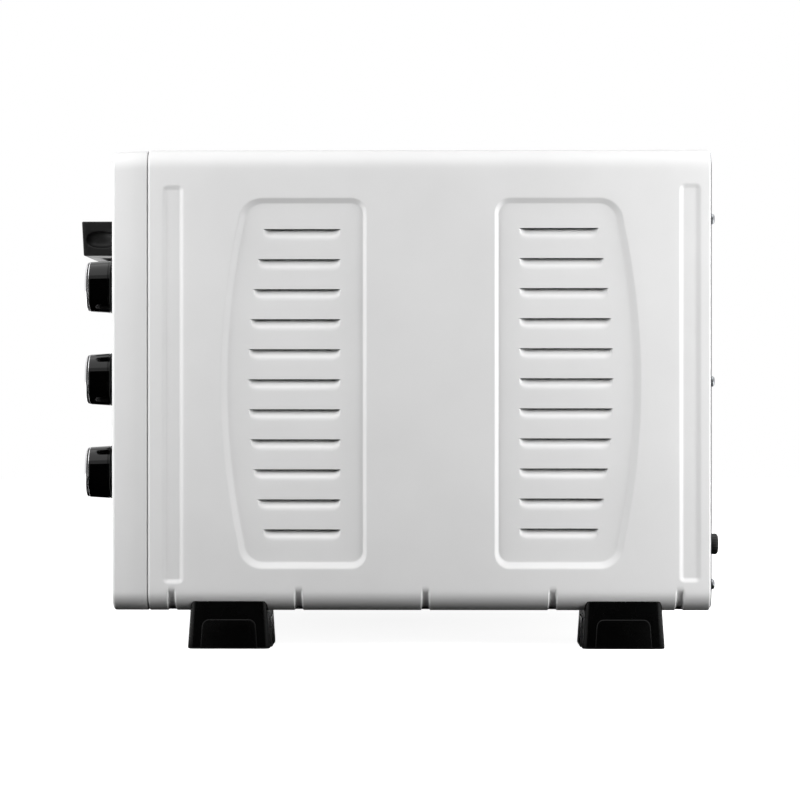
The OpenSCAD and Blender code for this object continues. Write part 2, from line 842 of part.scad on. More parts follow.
module wire_rack() {
    x1 = rack_w / 2 - rack_wire_r;
    x0 = x1 - rack_corner;
    ya = y_rack + rack_wire_r;
    yb = y_rack + rack_d - rack_wire_r;
    bar_z = rack_z + rack_wire_r - rack_bar_r;
    color("silver")
    translate([door_x, 0, 0]) {
        for (s = [-1, 1])
            wire([s * x1, ya + rack_corner, rack_z], [s * x1, yb - rack_corner, rack_z], rack_wire_r);
        for (y = [ya, yb])
            wire([-x0, y, rack_z], [x0, y, rack_z], rack_wire_r);
        wire_corner(x0, yb - rack_corner, 0);
        wire_corner(-x0, yb - rack_corner, 90);
        wire_corner(-x0, ya + rack_corner, 180);
        wire_corner(x0, ya + rack_corner, 270);
        for (i = [0:rack_bars - 1]) {
            x = -x0 + (i + 0.5) * 2 * x0 / rack_bars;
            wire([x, ya, bar_z], [x, yb, bar_z], rack_bar_r);
        }
        for (y = [ya + rack_d / 3, ya + 2 * rack_d / 3])
            wire([-x1, y, rack_z], [x1, y, rack_z], rack_bar_r);
        // Two prongs by which the opening door draws the rack forward.
        for (s = [-1, 1])
            wire([s * x0 / 2, ya, rack_z], [s * x0 / 2, y_rack - 16, rack_z], rack_bar_r);
    }
}

tray_sheet = 1;
tray_flare = 5;
tray_rim = 6;

module tray_slab(w, d, r, z, t) {
    translate([door_x, tray_y, z])
        linear_extrude(t)
            polygon(rounded(w, d, r));
}

tray_y = y_rack + rack_d / 2;
tray_z = rack_z + rack_wire_r;

module board_tray() {
    rim_z = tray_z + tray_h;
    top = tray_rim;
    bottom = tray_rim + tray_flare;
    color("dimgray")
    difference() {
        union() {
            hull() {
                tray_slab(tray_w - 2 * bottom, tray_d - 2 * bottom, 12, tray_z, 0.1);
                tray_slab(tray_w - 2 * top, tray_d - 2 * top, 15, rim_z - 0.1, 0.1);
            }
            tray_slab(tray_w, tray_d, 20, rim_z - tray_sheet, tray_sheet);
        }
        hull() {
            tray_slab(tray_w - 2 * (bottom + tray_sheet), tray_d - 2 * (bottom + tray_sheet), 11,
                tray_z + tray_sheet, 0.1);
            tray_slab(tray_w - 2 * (top + tray_sheet), tray_d - 2 * (top + tray_sheet), 14, rim_z + 0.1, 1);
        }
    }
}

heater_out = 13;
bush_len = 3;

module heater(i, k) {
    y = heater_ys[i];
    z = heater_zs[k];
    color("silver") {
        rod_x(y, z, heater_r, cavity_left - heater_out, cavity_right + heater_out);
        rod_x(y, z, 1.5, cavity_left - heater_out - 5, cavity_right + heater_out + 5);
    }
}

// Ceramic bushes that hold the heaters in the side walls of the cavity.
module heater_bushes() {
    color("white")
    for (y = heater_ys, z = heater_zs, s = [-1, 1]) {
        wall = s < 0 ? cavity_left : cavity_right;
        outside = wall + s * (sheet_t + bush_len);
        inside = wall - s * 2;
        difference() {
            union() {
                rod_x(y, z, bush_r, min(outside, wall), max(outside, wall));
                rod_x(y, z, bush_r + 2, min(outside, wall + s * sheet_t), max(outside, wall + s * sheet_t));
                rod_x(y, z, bush_r, min(inside, wall), max(inside, wall));
            }
            rod_x(y, z, heater_r, cavity_left - 30, cavity_right + 30);
        }
    }
}

// Convection fan --------------------------------------------------------------------------------

fan_shaft_r = 3;
baffle_r = 92;
baffle_d = 24;
blade_count = 8;
fan_h = 11;

// A shallow perforated cup over the fan, fixed to the back wall.
module fan_baffle() {
    color("silver")
    difference() {
        rod_y(door_x, fan_z, baffle_r, y_back - baffle_d, y_back);
        rod_y(door_x, fan_z, baffle_r - sheet_t, y_back - baffle_d + sheet_t, y_back + 1);
        for (k = [1:3], i = [0:6 * k - 1])
            rotate_at([door_x, 0, fan_z], i * 60 / k)
                rod_y(door_x + k * 14, fan_z, 4, y_back - baffle_d - 1, y_back - baffle_d + 2);
        rod_y(door_x, fan_z, 4, y_back - baffle_d - 1, y_back - baffle_d + 2);
        for (i = [0:17])
            rotate_at([door_x, 0, fan_z], i * 20)
                box([door_x + baffle_r - 3, y_back - baffle_d + 7, fan_z - 8],
                    [door_x + baffle_r + 3, y_back - 5, fan_z + 8]);
    }
}

module convection_fan() {
    color("silver")
    difference() {
        union() {
            rod_y(door_x, fan_z, fan_r, y_fan + fan_h - 1, y_fan + fan_h);
            rod_y(door_x, fan_z, 9, y_fan + fan_h - 8, y_fan + fan_h);
            for (i = [0:blade_count - 1])
                rotate_at([door_x, 0, fan_z], i * 360 / blade_count)
                    box([door_x + fan_r * 0.45, y_fan, fan_z - 0.6],
                        [door_x + fan_r - 1, y_fan + fan_h, fan_z + 0.6]);
        }
        rod_y(door_x, fan_z, fan_shaft_r, y_fan - 1, y_back);
    }
}

module fan_shaft() {
    color("silver")
    rod_y(door_x, fan_z, fan_shaft_r, y_fan + 2, y_motor + motor_d + 4);
}

// Shaded-pole motor: laminated stack, coil and two bearing shields.
module fan_motor() {
    color("slategray")
    difference() {
        union() {
            box([door_x - 30, y_motor + 6, fan_z - 34], [door_x + 30, y_motor + motor_d - 6, fan_z + 30]);
            rod_y(door_x, fan_z, 14, y_motor, y_motor + motor_d);
            box([door_x - 22, y_motor + 1, fan_z - 54], [door_x + 22, y_motor + motor_d - 1, fan_z - 34]);
        }
        rod_y(door_x, fan_z, fan_shaft_r + running, y_motor - 1, y_motor + motor_d + 1);
    }
}

module motor_bracket() {
    y0 = y_back + sheet_t;
    color("silver") {
        for (s = [-1, 1])
            box([door_x + s * 33 - 1.5, y0, fan_z + 16], [door_x + s * 33 + 1.5, y_motor + 6, fan_z + 26]);
        difference() {
            box([door_x - 45, y0, fan_z + 16], [door_x + 45, y0 + 1.5, fan_z + 26]);
            rod_y(door_x, fan_z, 20, y0 - 1, y0 + 3);
        }
        for (s = [-1, 1])
            box([door_x + s * 28 - 6.5, y_motor + 4.5, fan_z + 16],
                [door_x + s * 28 + 6.5, y_motor + 6, fan_z + 26]);
    }
}

// Controls --------------------------------------------------------------------------------------

module heat_shield() {
    color("silver")
    difference() {
        box([shield_x, y_front + frame_t, base_z + sheet_t],
            [shield_x + sheet_t, y_rear - 12, cavity_top + 10]);
        rod_x(bulb_end + bulb_turn, bulb_z, tube_hole_r, shield_x - 1, shield_x + 2);
        box([shield_x - 1, y_front, base_z], [shield_x + 2, y_cover + frame_lap + 1, base_z + 6]);
    }
}

// Half the width of the bracket, and how far it reaches past the outer controls.
bracket_reach = 34;

module control_bracket() {
    lo = knob_z[2] - bracket_reach;
    hi = knob_z[0] + bracket_reach;
    color("silver")
    difference() {
        union() {
            box([panel_x - bracket_reach, y_bracket, lo],
                [panel_x + bracket_reach, y_bracket + bracket_t, hi]);
            for (s = [-1, 1])
                box([panel_x + s * bracket_reach - bracket_t / 2, y_front + frame_t, lo],
                    [panel_x + s * bracket_reach + bracket_t / 2, y_bracket + bracket_t, hi]);
        }
        for (z = knob_z) rod_y(panel_x, z, 5, y_bracket - 1, y_bracket + bracket_t + 1);
    }
}

// Threaded neck of a control, with the bore for its shaft.
module control_neck(z) {
    difference() {
        union() {
            children();
            rod_y(panel_x, z, 5, y_control - neck_len, y_control + 1);
        }
        rod_y(panel_x, z, shaft_r + running, y_control - neck_len - 1, y_control + shaft_in + 1);
    }
}

// Half width, half height and depth of the thermostat, and its boss for the sensor's tube.
thermostat_x = 21;
thermostat_z = 19;
thermostat_d = 22;
boss_h = 4;
boss_z = knob_z[0] - 8;

module thermostat() {
    color("ivory")
    control_neck(knob_z[0])
        union() {
            box([panel_x - thermostat_x, y_control, knob_z[0] - thermostat_z],
                [panel_x + thermostat_x, y_control + thermostat_d, knob_z[0] + thermostat_z]);
            rod_y(panel_x, boss_z, 9, y_control + thermostat_d, y_control + thermostat_d + boss_h);
        }
}

// The thermostat's sensing rod in the cavity and the thin tube that leads to it.
module sensor_bulb() {
    start = [panel_x, y_control + thermostat_d + boss_h, boss_z];
    y_turn = bulb_end + bulb_turn;
    path = [
        [bulb_x, bulb_y, bulb_z], [bulb_x, bulb_end, bulb_z],
        [bulb_x, bulb_end + 1, bulb_z], [bulb_x, bulb_end + 5, bulb_z], [bulb_x + 2, bulb_end + 10, bulb_z],
        [bulb_x + 7, y_turn, bulb_z], [shield_x - 8, y_turn, bulb_z],
        [shield_x + 8, y_turn, bulb_z], [shield_x + 15, y_turn - 4, bulb_z - 1],
        [shield_x + 18, y_turn - 14, bulb_z - 2], start + [-26, 52, 0], start + [-12, 32, 0],
        start + [-2, 18, 0], start + [0, 8, 0], start
    ];
    color("silver")
    swept_tube(path, [for (i = [0:len(path) - 1]) i < 2 ? bulb_r : tube_r], 10, [0, 0, 1]);
}

module mode_switch() {
    color("dimgray")
    control_neck(knob_z[1])
        union() {
            rod_y(panel_x, knob_z[1], 20, y_control, y_control + 24);
            for (i = [0:5])
                rotate_at([panel_x, 0, knob_z[1]], i * 60)
                    box([panel_x + 12, y_control + 23, knob_z[1] - 2.5],
                        [panel_x + 13, y_control + 31, knob_z[1] + 2.5]);
        }
}

module timer() {
    color("silver")
    control_neck(knob_z[2])
        union() {
            box([panel_x - 23, y_control, knob_z[2] - 23], [panel_x + 23, y_control + 26, knob_z[2] + 23]);
            rod_y(panel_x, knob_z[2], 4, y_control + 26, y_control + 30);
            rod_y(panel_x, knob_z[2], 20, y_control + 30, y_control + 32);
        }
}

module control_shaft(z) {
    color("silver")
    rod_y(panel_x, z, shaft_r, y_knob_face + 5, y_control + shaft_in);
}

bezel_r = knob_d / 2 + 0.4;
y_bezel = y_front - fascia_t - bezel_h;
y_knob = y_bezel - knob_gap;
y_knob_face = y_knob - knob_len;

// Black knob body: a drafted barrel with a shallow face and a bore for its shaft.
module knob(z) {
    r1 = knob_d / 2;
    r0 = r1 - knob_draft;
    color("black")
    difference() {
        union() {
            cone_y(panel_x, z, r0, r1, y_knob_face, y_knob);
            rod_y(panel_x, z, r0 - 2.4, y_knob_face - ring_len + 1, y_knob_face + 1);
        }
        rod_y(panel_x, z, shaft_r, y_knob_face + 5, y_knob + 1);
    }
}

// Bright trim ring round the face of a knob.
module knob_ring(z) {
    r0 = knob_d / 2 - knob_draft;
    color("silver")
    translate([panel_x, y_knob_face, z])
        rotate([90, 0, 0])
            rotate_extrude()
                polygon(concat(
                    [[r0 - 2.4, 0], [r0, 0]],
                    arc(r0 - ring_len * 0.8, ring_len * 0.2, ring_len * 0.8, 0, 90, 5),
                    [[r0 - 2.4 - 0.001, ring_len]]
                ));
}

module knob_bezels() {
    color("black")
    for (z = knob_z)
        difference() {
            rod_y(panel_x, z, bezel_r, y_bezel, y_front - fascia_t);
            rod_y(panel_x, z, shaft_r + 1, y_bezel - 1, y_front);
        }
}

module pilot_lamp_lens() {
    color("orangered") {
        cone_y(panel_x, lamp_z, lamp_d / 2 - 1.2, lamp_d / 2, y_front - fascia_t - 2.4, y_front - fascia_t);
        rod_y(panel_x, lamp_z, lamp_d / 2 - 1.2, y_front - fascia_t - 1, y_front + frame_t + 4);
    }
}

module pilot_lamp_body() {
    color("white")
    difference() {
        rod_y(panel_x, lamp_z, lamp_d / 2 + 1, y_front + frame_t, y_front + frame_t + 22);
        rod_y(panel_x, lamp_z, lamp_d / 2 - 1.2, y_front, y_front + frame_t + 4);
    }
}

block_y = y_rear - 60;

module terminal_block() {
    x0 = gland_x - 22;
    color("ivory")
    difference() {
        box([x0, block_y, base_z + sheet_t], [x0 + 44, block_y + 18, base_z + sheet_t + 20]);
        for (i = [0:2])
            translate([x0 + 8 + i * 14, block_y + 9, base_z + 12])
                cylinder(r = 3, h = 20);
    }
}

// Supply wires from the terminal block up the control column to the three controls.
module wiring_loom() {
    x = gland_x;
    z = base_z + sheet_t + 12;
    up_x = panel_x + 14;
    color("dimgray")
    swept_tube([
        [x, block_y, z], [x, block_y - 20, z], [x, block_y - 60, z + 2], [x + 2, block_y - 120, z + 6],
        [x + 4, block_y - 190, z + 14], [up_x, y_control + 66, z + 34], [up_x, y_control + 52, z + 56],
        [up_x, y_control + 46, z + 80], [up_x, y_control + 44, knob_z[2] + 20],
        [up_x, y_control + 44, knob_z[1] + 30], [up_x, y_control + 42, knob_z[0] - 14],
        [up_x, y_control + 37, knob_z[0]], [up_x, y_control + 31, knob_z[0] + 6],
        [up_x, y_control + 22, knob_z[0] + 6]
    ], 3, 10);
}

// Door ------------------------------------------------------------------------------------------

handle_z = door_z + door_h - handle_drop;
handle_screw_x = handle_len / 2 - handle_post / 2;
y_panel = y_door + glass_t;
y_door_in = y_front - door_gap;

module door_glass() {
    color("black", 0.5)
    difference() {
        along_y(y_door, y_panel)
            polygon(rounded(door_w, door_h, 6, door_x, door_z + door_h / 2));
        for (s = [-1, 1])
            rod_y(door_x + s * handle_screw_x, handle_z, 3, y_door - 1, y_panel + 1);
    }
}

panel_inset = 2;
window_z = door_z + door_h / 2 - 6;

module door_panel() {
    w = door_w - 2 * panel_inset;
    h = door_h - 2 * panel_inset;
    color("whitesmoke")
    difference() {
        along_y(y_panel, y_door_in) polygon(rounded(w, h, 5, door_x, door_z + door_h / 2));
        along_y(y_panel - 1, y_door_in - door_sheet)
            polygon(rounded(w - 2 * door_sheet, h - 2 * door_sheet, 4, door_x, door_z + door_h / 2));
        along_y(y_door_in - door_sheet - 1, y_door_in + 1)
            polygon(rounded(window_w, window_h, 10, door_x, window_z));
        for (s = [-1, 1])
            rod_x(hinge_y, hinge_z, hinge_pin_r, door_x + s * w / 2 - 3, door_x + s * w / 2 + 3);
    }
}

inner_lap = 7;

module door_inner_glass() {
    color("gray", 0.4)
    along_y(y_door_in - door_sheet - glass_t, y_door_in - door_sheet)
        polygon(rounded(window_w + 2 * inner_lap, window_h + 2 * inner_lap, 6, door_x, window_z));
}

module door_seal() {
    color("dimgray")
    along_y(y_front - seal_t, y_front)
        difference() {
            polygon(rounded(cavity_w + 14, cavity_h + 14, 8, door_x, cavity_z + cavity_h / 2));
            polygon(rounded(cavity_w + 3, cavity_h + 3, 5, door_x, cavity_z + cavity_h / 2));
        }
}

// Oval outline for the hollow in the end of the handle, in Y and Z.
function oval(a, b, cy, cz, n = 32) =
    [for (i = [0:n - 1]) [cy + a * cos(360 * i / n), cz + b * sin(360 * i / n)]];

module door_handle() {
    hl = handle_len / 2;
    color("black")
    difference() {
        along_x(door_x - hl, door_x + hl)
            polygon([
                [y_door - handle_out, handle_z + handle_h / 2 - 1],
                [y_door - handle_out + 1, handle_z + handle_h / 2],
                [y_door, handle_z + handle_h / 2],
                [y_door, handle_z - handle_h / 2],
                [y_door - handle_out + 2.4, handle_z - handle_h / 2],
                [y_door - handle_out + 1.4, handle_z - handle_h / 2 + 1]
            ]);
        box([door_x - hl + handle_post, y_door - handle_out + handle_bar, handle_z - handle_h],
            [door_x + hl - handle_post, y_door + 1, handle_z + handle_h]);
        for (s = [-1, 1]) {
            end = door_x + s * hl;
            along_x(min(end, end - s * handle_hollow), max(end, end - s * handle_hollow) + 0.01)
                polygon(oval(handle_out / 2 + 0.5, handle_h / 4, y_door - handle_out / 2 + 1.4, handle_z));
            rod_y(door_x + s * handle_screw_x, handle_z, 2.5, y_door - 14, y_door + 1);
        }
    }
}

module handle_screws() {
    color("silver")
    for (s = [-1, 1]) {
        rod_y(door_x + s * handle_screw_x, handle_z, 2.5, y_door - 13, y_panel + 1);
        rod_y(door_x + s * handle_screw_x, handle_z, 4.5, y_panel, y_panel + 3);
    }
}

// Hinges ----------------------------------------------------------------------------------------

ear_gap = 5;
ear_t = 2;

// The fixed bracket at one lower corner of the door; side -1 is the left one.
module hinge_bracket(side) {
    door_edge = door_x + side * door_w / 2;
    ear = door_edge + side * ear_gap;
    out = ear + side * ear_t;
    base = door_edge + side * 0.6;
    color("silver")
    difference() {
        union() {
            box([min(ear, out), hinge_y - 5, hinge_z - 7], [max(ear, out), y_front, hinge_z + 7]);
            box([min(base, out), y_front - 1.5, hinge_z - 12], [max(base, out), y_front, hinge_z + 16]);
        }
        rod_x(hinge_y, hinge_z, hinge_pin_r + running, min(ear, out) - 1, max(ear, out) + 1);
    }
}

// Steel blocks inside the lower corners of the door, each with its riveted pin and a collar
// that keeps the door between its two brackets.
module hinge_pivots() {
    color("silver")
    for (s = [-1, 1]) {
        a = door_x + s * (door_w / 2 - panel_inset - door_sheet);
        b = a - s * 20;
        outer = door_x + s * (door_w / 2 + ear_gap + ear_t + 0.8);
        shoulder = door_x + s * (door_w / 2 - panel_inset);
        collar = door_x + s * (door_w / 2 + ear_gap - 0.3);
        box([min(a, b), y_panel, door_z + panel_inset + door_sheet],
            [max(a, b), y_door_in - door_sheet, door_z + 18]);
        rod_x(hinge_y, hinge_z, hinge_pin_r, min(b, outer), max(b, outer));
        rod_x(hinge_y, hinge_z, hinge_pin_r + 1.2, min(shoulder, collar), max(shoulder, collar));
    }
}

spring_r = 4.9;
spring_wire_r = 0.6;

// Coiled springs round the hinge pins that hold the closed door against the seal.
// A long leg of each bears on the bracket.
module door_springs() {
    leg = 14;
    color("silver")
    for (s = [-1, 1]) {
        start = door_x + s * (door_w / 2 + 1.1);
        coil = [
            for (i = [0:30])
                let (a = 24 * i)
                [start + s * 0.09 * i, hinge_y + spring_r * cos(a), hinge_z + spring_r * sin(a)]
        ];
        end = coil[30];
        swept_tube(concat(coil, [end + [0, 0.06, 3], end + [0, 0.06, leg]]), spring_wire_r, 8);
    }
}

// Drawing ---------------------------------------------------------------------------------------

outer_cover();
front_frame();
control_fascia();
rear_panel();
base_pan();
mirror([1, 0, 0]) foot(foot_ys[0]);  // foot_front_left
foot(foot_ys[0]);  // foot_front_right
mirror([1, 0, 0]) foot(foot_ys[1]);  // foot_rear_left
foot(foot_ys[1]);  // foot_rear_right
foot_pads();
foot_screws();
rear_screws();
cord_bush();
cavity_wrap();
cavity_floor();
cavity_back();
rack_rail(-1);  // rack_rail_left
rack_rail(1);  // rack_rail_right
wire_rack();
board_tray();
heater(0, 1);  // heater_top_front
heater(1, 1);  // heater_top_rear
heater(0, 0);  // heater_bottom_front
heater(1, 0);  // heater_bottom_rear
heater_bushes();
fan_baffle();
convection_fan();
fan_shaft();
fan_motor();
motor_bracket();
heat_shield();
control_bracket();
thermostat();
sensor_bulb();
mode_switch();
timer();
control_shaft(knob_z[0]);  // temperature_shaft
control_shaft(knob_z[1]);  // mode_shaft
control_shaft(knob_z[2]);  // timer_shaft
knob(knob_z[0]);  // temperature_knob
knob(knob_z[1]);  // mode_knob
knob(knob_z[2]);  // timer_knob
knob_ring(knob_z[0]);  // temperature_knob_ring
knob_ring(knob_z[1]);  // mode_knob_ring
knob_ring(knob_z[2]);  // timer_knob_ring
knob_bezels();
pilot_lamp_lens();
pilot_lamp_body();
terminal_block();
wiring_loom();
door_glass();
door_panel();
door_inner_glass();
door_seal();
door_handle();
handle_screws();
hinge_bracket(-1);  // hinge_bracket_left
hinge_bracket(1);  // hinge_bracket_right
hinge_pivots();
door_springs();
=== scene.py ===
"""Looks of a bench-top reflow oven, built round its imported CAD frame.

Each sub-assembly of the oven is a class with its sizes in millimetres as fields. Pieces that the
CAD frame draws well enough are dressed with soft edges and a finish; the folded cover, the frame,
the feet, the knobs, the handle and the small rear parts are rebuilt as finer meshes.
"""

from __future__ import annotations

import logging
import math
from collections.abc import Callable, Sequence
from dataclasses import dataclass, field
from enum import Enum

import bmesh
import bpy
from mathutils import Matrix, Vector
from mathutils.geometry import delaunay_2d_cdt

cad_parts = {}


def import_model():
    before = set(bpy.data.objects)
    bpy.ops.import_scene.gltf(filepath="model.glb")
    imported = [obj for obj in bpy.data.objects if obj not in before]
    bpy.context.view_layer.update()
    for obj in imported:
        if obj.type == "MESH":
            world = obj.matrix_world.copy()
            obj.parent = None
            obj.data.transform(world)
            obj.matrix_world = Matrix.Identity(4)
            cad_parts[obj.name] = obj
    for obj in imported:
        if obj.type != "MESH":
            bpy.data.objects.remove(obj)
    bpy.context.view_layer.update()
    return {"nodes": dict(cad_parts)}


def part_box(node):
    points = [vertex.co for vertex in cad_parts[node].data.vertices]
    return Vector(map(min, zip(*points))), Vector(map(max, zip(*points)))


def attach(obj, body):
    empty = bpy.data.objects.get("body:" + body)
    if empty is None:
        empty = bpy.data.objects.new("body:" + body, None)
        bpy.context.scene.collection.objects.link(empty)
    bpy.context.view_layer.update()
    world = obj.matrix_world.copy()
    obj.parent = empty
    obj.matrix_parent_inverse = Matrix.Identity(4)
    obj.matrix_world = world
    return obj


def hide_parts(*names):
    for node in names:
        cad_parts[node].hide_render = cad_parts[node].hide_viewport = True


LOG = logging.getLogger("reflow_oven")
MM = 0.001
NOISE, CELLS, WAVES = "ShaderNodeTexNoise", "ShaderNodeTexVoronoi", "ShaderNodeTexWave"
BUMP, RANGE, MAPPING = "ShaderNodeBump", "ShaderNodeMapRange", "ShaderNodeMapping"
MATH, MIX, DIFFUSE = "ShaderNodeMath", "ShaderNodeMixShader", "ShaderNodeBsdfDiffuse"
# The wave texture draws about this many bands, light and dark ones counted, in one unit of length.
BANDS_PER_UNIT = 6.3
Loop = list[Vector]
Points = list[tuple[float, float]]
Place = Callable[[float, float, float], Vector]
Tree, Socket, Piece = bpy.types.NodeTree, bpy.types.NodeSocket, bpy.types.Object


# Shared geometry ---------------------------------------------------------------------------------


def arc(cx: float, cz: float, r: float, start: float, end: float, steps: int) -> Points:
    """Gives points of an arc in a plane.

    Args:
        cx: First coordinate of the centre.
        cz: Second coordinate of the centre.
        r: Radius.
        start: First angle in degrees.
        end: Last angle in degrees.
        steps: Number of spans.

    Returns:
        steps + 1 points, both ends included.
    """
    turns = [math.radians(start + (end - start) * i / steps) for i in range(steps + 1)]
    return [(cx + r * math.cos(t), cz + r * math.sin(t)) for t in turns]


def rounded_rect(
    w: float, h: float, r: float, cx: float = 0.0, cz: float = 0.0, steps: int = 8, sides: int = 1
) -> Points:
    """Gives a rectangle with rounded corners, counter-clockwise from its right side.

    Args:
        w: Width.
        h: Height.
        r: Corner radius.
        cx: First coordinate of the middle.
        cz: Second coordinate of the middle.
        steps: Spans in each corner.
        sides: Spans along each straight side.

    Returns:
        The points of the closed outline.
    """
    corners = [(cx + w / 2 - r, cz + h / 2 - r, 0), (cx - w / 2 + r, cz + h / 2 - r, 90)]
    corners += [(cx - w / 2 + r, cz - h / 2 + r, 180), (cx + w / 2 - r, cz - h / 2 + r, 270)]
    points: Points = []
    for x, z, a in corners:
        here = arc(x, z, max(r, 1e-3), a, a + 90, steps)
        if points:
            points += between(points[-1], here[0], sides)
        points += here
    return points + between(points[-1], points[0], sides)


def between(a: tuple[float, float], b: tuple[float, float], spans: int) -> Points:
    """Gives the inner points that divide the line from a to b into that many spans."""
    return [(a[0] + (b[0] - a[0]) * i / spans, a[1] + (b[1] - a[1]) * i / spans) for i in range(1, spans)]


def smooth(t: float) -> float:
    """Eases t from 0 to 1 with flat ends."""
    t = min(1.0, max(0.0, t))
    return t * t * (3 - 2 * t)


def pressed(t: float, ease: float = 0.22) -> float:
    """Gives how far a pressed wall has sunk at share t of its width: straight, with eased ends."""
    t = min(1.0, max(0.0, t))
    if t > 0.5:
        return 1.0 - pressed(1.0 - t, ease)
    slope = 1.0 / (1.0 - ease)
    return slope * t * t / (2 * ease) if t < ease else slope * (t - ease / 2)


def upright(points: Sequence[tuple[float, float]], y: float) -> Loop:
    """Places an X-Z outline at depth y."""
    return [Vector((x, y, z)) for x, z in points]


@dataclass
class Sheet:
    """Collects points and faces in millimetres and turns them into one mesh object."""

    points: Loop = field(default_factory=list)
    faces: list[tuple[int, ...]] = field(default_factory=list)

    def loop(self, points: Sequence[Vector]) -> list[int]:
        """Adds points and gives their numbers."""
        start = len(self.points)
        self.points += [Vector(p) for p in points]
        return list(range(start, len(self.points)))

    def bridge(self, a: Sequence[int], b: Sequence[int], closed: bool = True) -> None:
        """Joins two rows of the same length with quads.

        Args:
            a: Point numbers of the first row.
            b: Point numbers of the second row.
            closed: Whether the rows are rings.
        """
        n = len(a)
        for i in range(n if closed else n - 1):
            k = (i + 1) % n
            self.faces.append((a[i], a[k], b[k], b[i]))

    def loft(
        self, loops: Sequence[Sequence[Vector]], cap_first: bool = False, cap_last: bool = False
    ) -> list[list[int]]:
        """Skins a row of rings.

        Args:
            loops: The rings, all with the same number of points.
            cap_first: Whether the first ring is closed with a face.
            cap_last: Whether the last ring is closed with a face.

        Returns:
            The point numbers of each ring.
        """
        rows = [self.loop(points) for points in loops]
        for a, b in zip(rows, rows[1:]):
            self.bridge(a, b)
        if cap_first:
            self.faces.append(tuple(reversed(rows[0])))
        if cap_last:
            self.faces.append(tuple(rows[-1]))
        return rows

    def lathe(self, profile: Points, place: Place, turns: int = 96) -> None:
        """Spins a profile of (radius, height) points.

        Args:
            profile: Points from one end to the other; radius 0 closes an end.
            place: Turns (radius * cos, radius * sin, height) into a point.
            turns: Number of points round.
        """
        previous: list[int] = []
        for r, h in profile:
            if r < 1e-6:
                row = self.loop([place(0.0, 0.0, h)]) * turns
            else:
                angles = [2 * math.pi * i / turns for i in range(turns)]
                row = self.loop([place(r * math.cos(a), r * math.sin(a), h) for a in angles])
            if previous:
                for i in range(turns):
                    k = (i + 1) % turns
                    face = list(dict.fromkeys((previous[i], previous[k], row[k], row[i])))
                    if len(face) > 2:
                        self.faces.append(tuple(face))
            previous = row

    def build(
        self, name: str, material: bpy.types.Material, crease: float = 34.0, outward: bool = True
    ) -> Piece:
        """Makes the object.

        Args:
            name: Name of the piece.
            material: Its finish.
            crease: Edges that turn by more degrees than this stay sharp.
            outward: Whether the faces are turned to point out of a closed shape.

        Returns:
            The new object, in metres.
        """
        mesh = bpy.data.meshes.new(name)
        mesh.from_pydata([p * MM for p in self.points], [], self.faces)
        mesh.validate()
        if outward:
            turn_outward(mesh)
        mesh.polygons.foreach_set("use_smooth", [True] * len(mesh.polygons))
        mesh.set_sharp_from_angle(angle=math.radians(crease))
        mesh.materials.append(material)
        piece = bpy.data.objects.new(name, mesh)
        bpy.context.scene.collection.objects.link(piece)
        return piece


def turn_outward(mesh: bpy.types.Mesh) -> None:
    """Merges points that lie together and turns all faces to point outwards."""
    made = bmesh.new()
    made.from_mesh(mesh)
    bmesh.ops.remove_doubles(made, verts=made.verts, dist=1e-7)
    bmesh.ops.recalc_face_normals(made, faces=made.faces)
    made.to_mesh(mesh)
    made.free()


# Finishes ----------------------------------------------------------------------------------------


def linear(code: str, alpha: float = 1.0) -> tuple[float, float, float, float]:
    """Turns an sRGB hex colour such as "#d8d8d6" into linear red, green, blue and alpha."""
    parts = [int(code.lstrip("#")[i : i + 2], 16) / 255 for i in (0, 2, 4)]
    r, g, b = (c / 12.92 if c <= 0.04045 else ((c + 0.055) / 1.055) ** 2.4 for c in parts)
    return r, g, b, alpha


def put(tree: Tree, kind: str, settings: dict | None = None, links: dict | None = None) -> bpy.types.Node:
    """Adds one node.

    Args:
        tree: The node tree.
        kind: Blender's name of the node type.
        settings: Property or socket, by name or number, to its value.
        links: Input socket, by name or number, to the output socket that feeds it.

    Returns:
        The new node.
    """
    node = tree.nodes.new(kind)
    for key, value in (settings or {}).items():
        if isinstance(key, str) and hasattr(node, key):
            setattr(node, key, value)
        else:
            node.inputs[key].default_value = value
    for key, socket in (links or {}).items():
        tree.links.new(socket, node.inputs[key])
    return node


def per_metre(size_mm: float) -> float:
    """Gives the texture scale that makes a pattern repeat every size_mm."""
    return 1.0 / (size_mm * MM)


def grains(tree: Tree, place: Socket, size_mm: float, detail: float = 2.0) -> Socket:
    """Adds noise whose grains are size_mm wide and gives its value."""
    settings = {"Scale": per_metre(size_mm), "Detail": detail, "Roughness": 0.5}
    return put(tree, NOISE, settings, {"Vector": place}).outputs[0]


def bands(tree: Tree, place: Socket, width_mm: float, way: str) -> Socket:
    """Adds bands, light and dark by turns and width_mm wide, and gives their value."""
    settings = {"Scale": per_metre(width_mm) / BANDS_PER_UNIT, "bands_direction": way}
    return put(tree, WAVES, settings, {"Vector": place}).outputs[1]


def spread(tree: Tree, value: Socket, low: float, high: float) -> Socket:
    """Maps the middle of a pattern's range onto low to high."""
    settings = {"From Min": 0.3, "From Max": 0.7, "To Min": low, "To Max": high}
    return put(tree, RANGE, settings, {"Value": value}).outputs[0]


def relief(tree: Tree, height: Socket, depth_mm: float, strength: float = 1.0) -> Socket:
    """Adds a relief depth_mm deep and gives its normal."""
    return put(tree, BUMP, {"Distance": depth_mm * MM, "Strength": strength}, {"Height": height}).outputs[0]


def blank(name: str) -> bpy.types.Material:
    """Gives a new material without any nodes."""
    made = bpy.data.materials.new(name)
    made.use_nodes = True
    made.node_tree.nodes.clear()
    return made


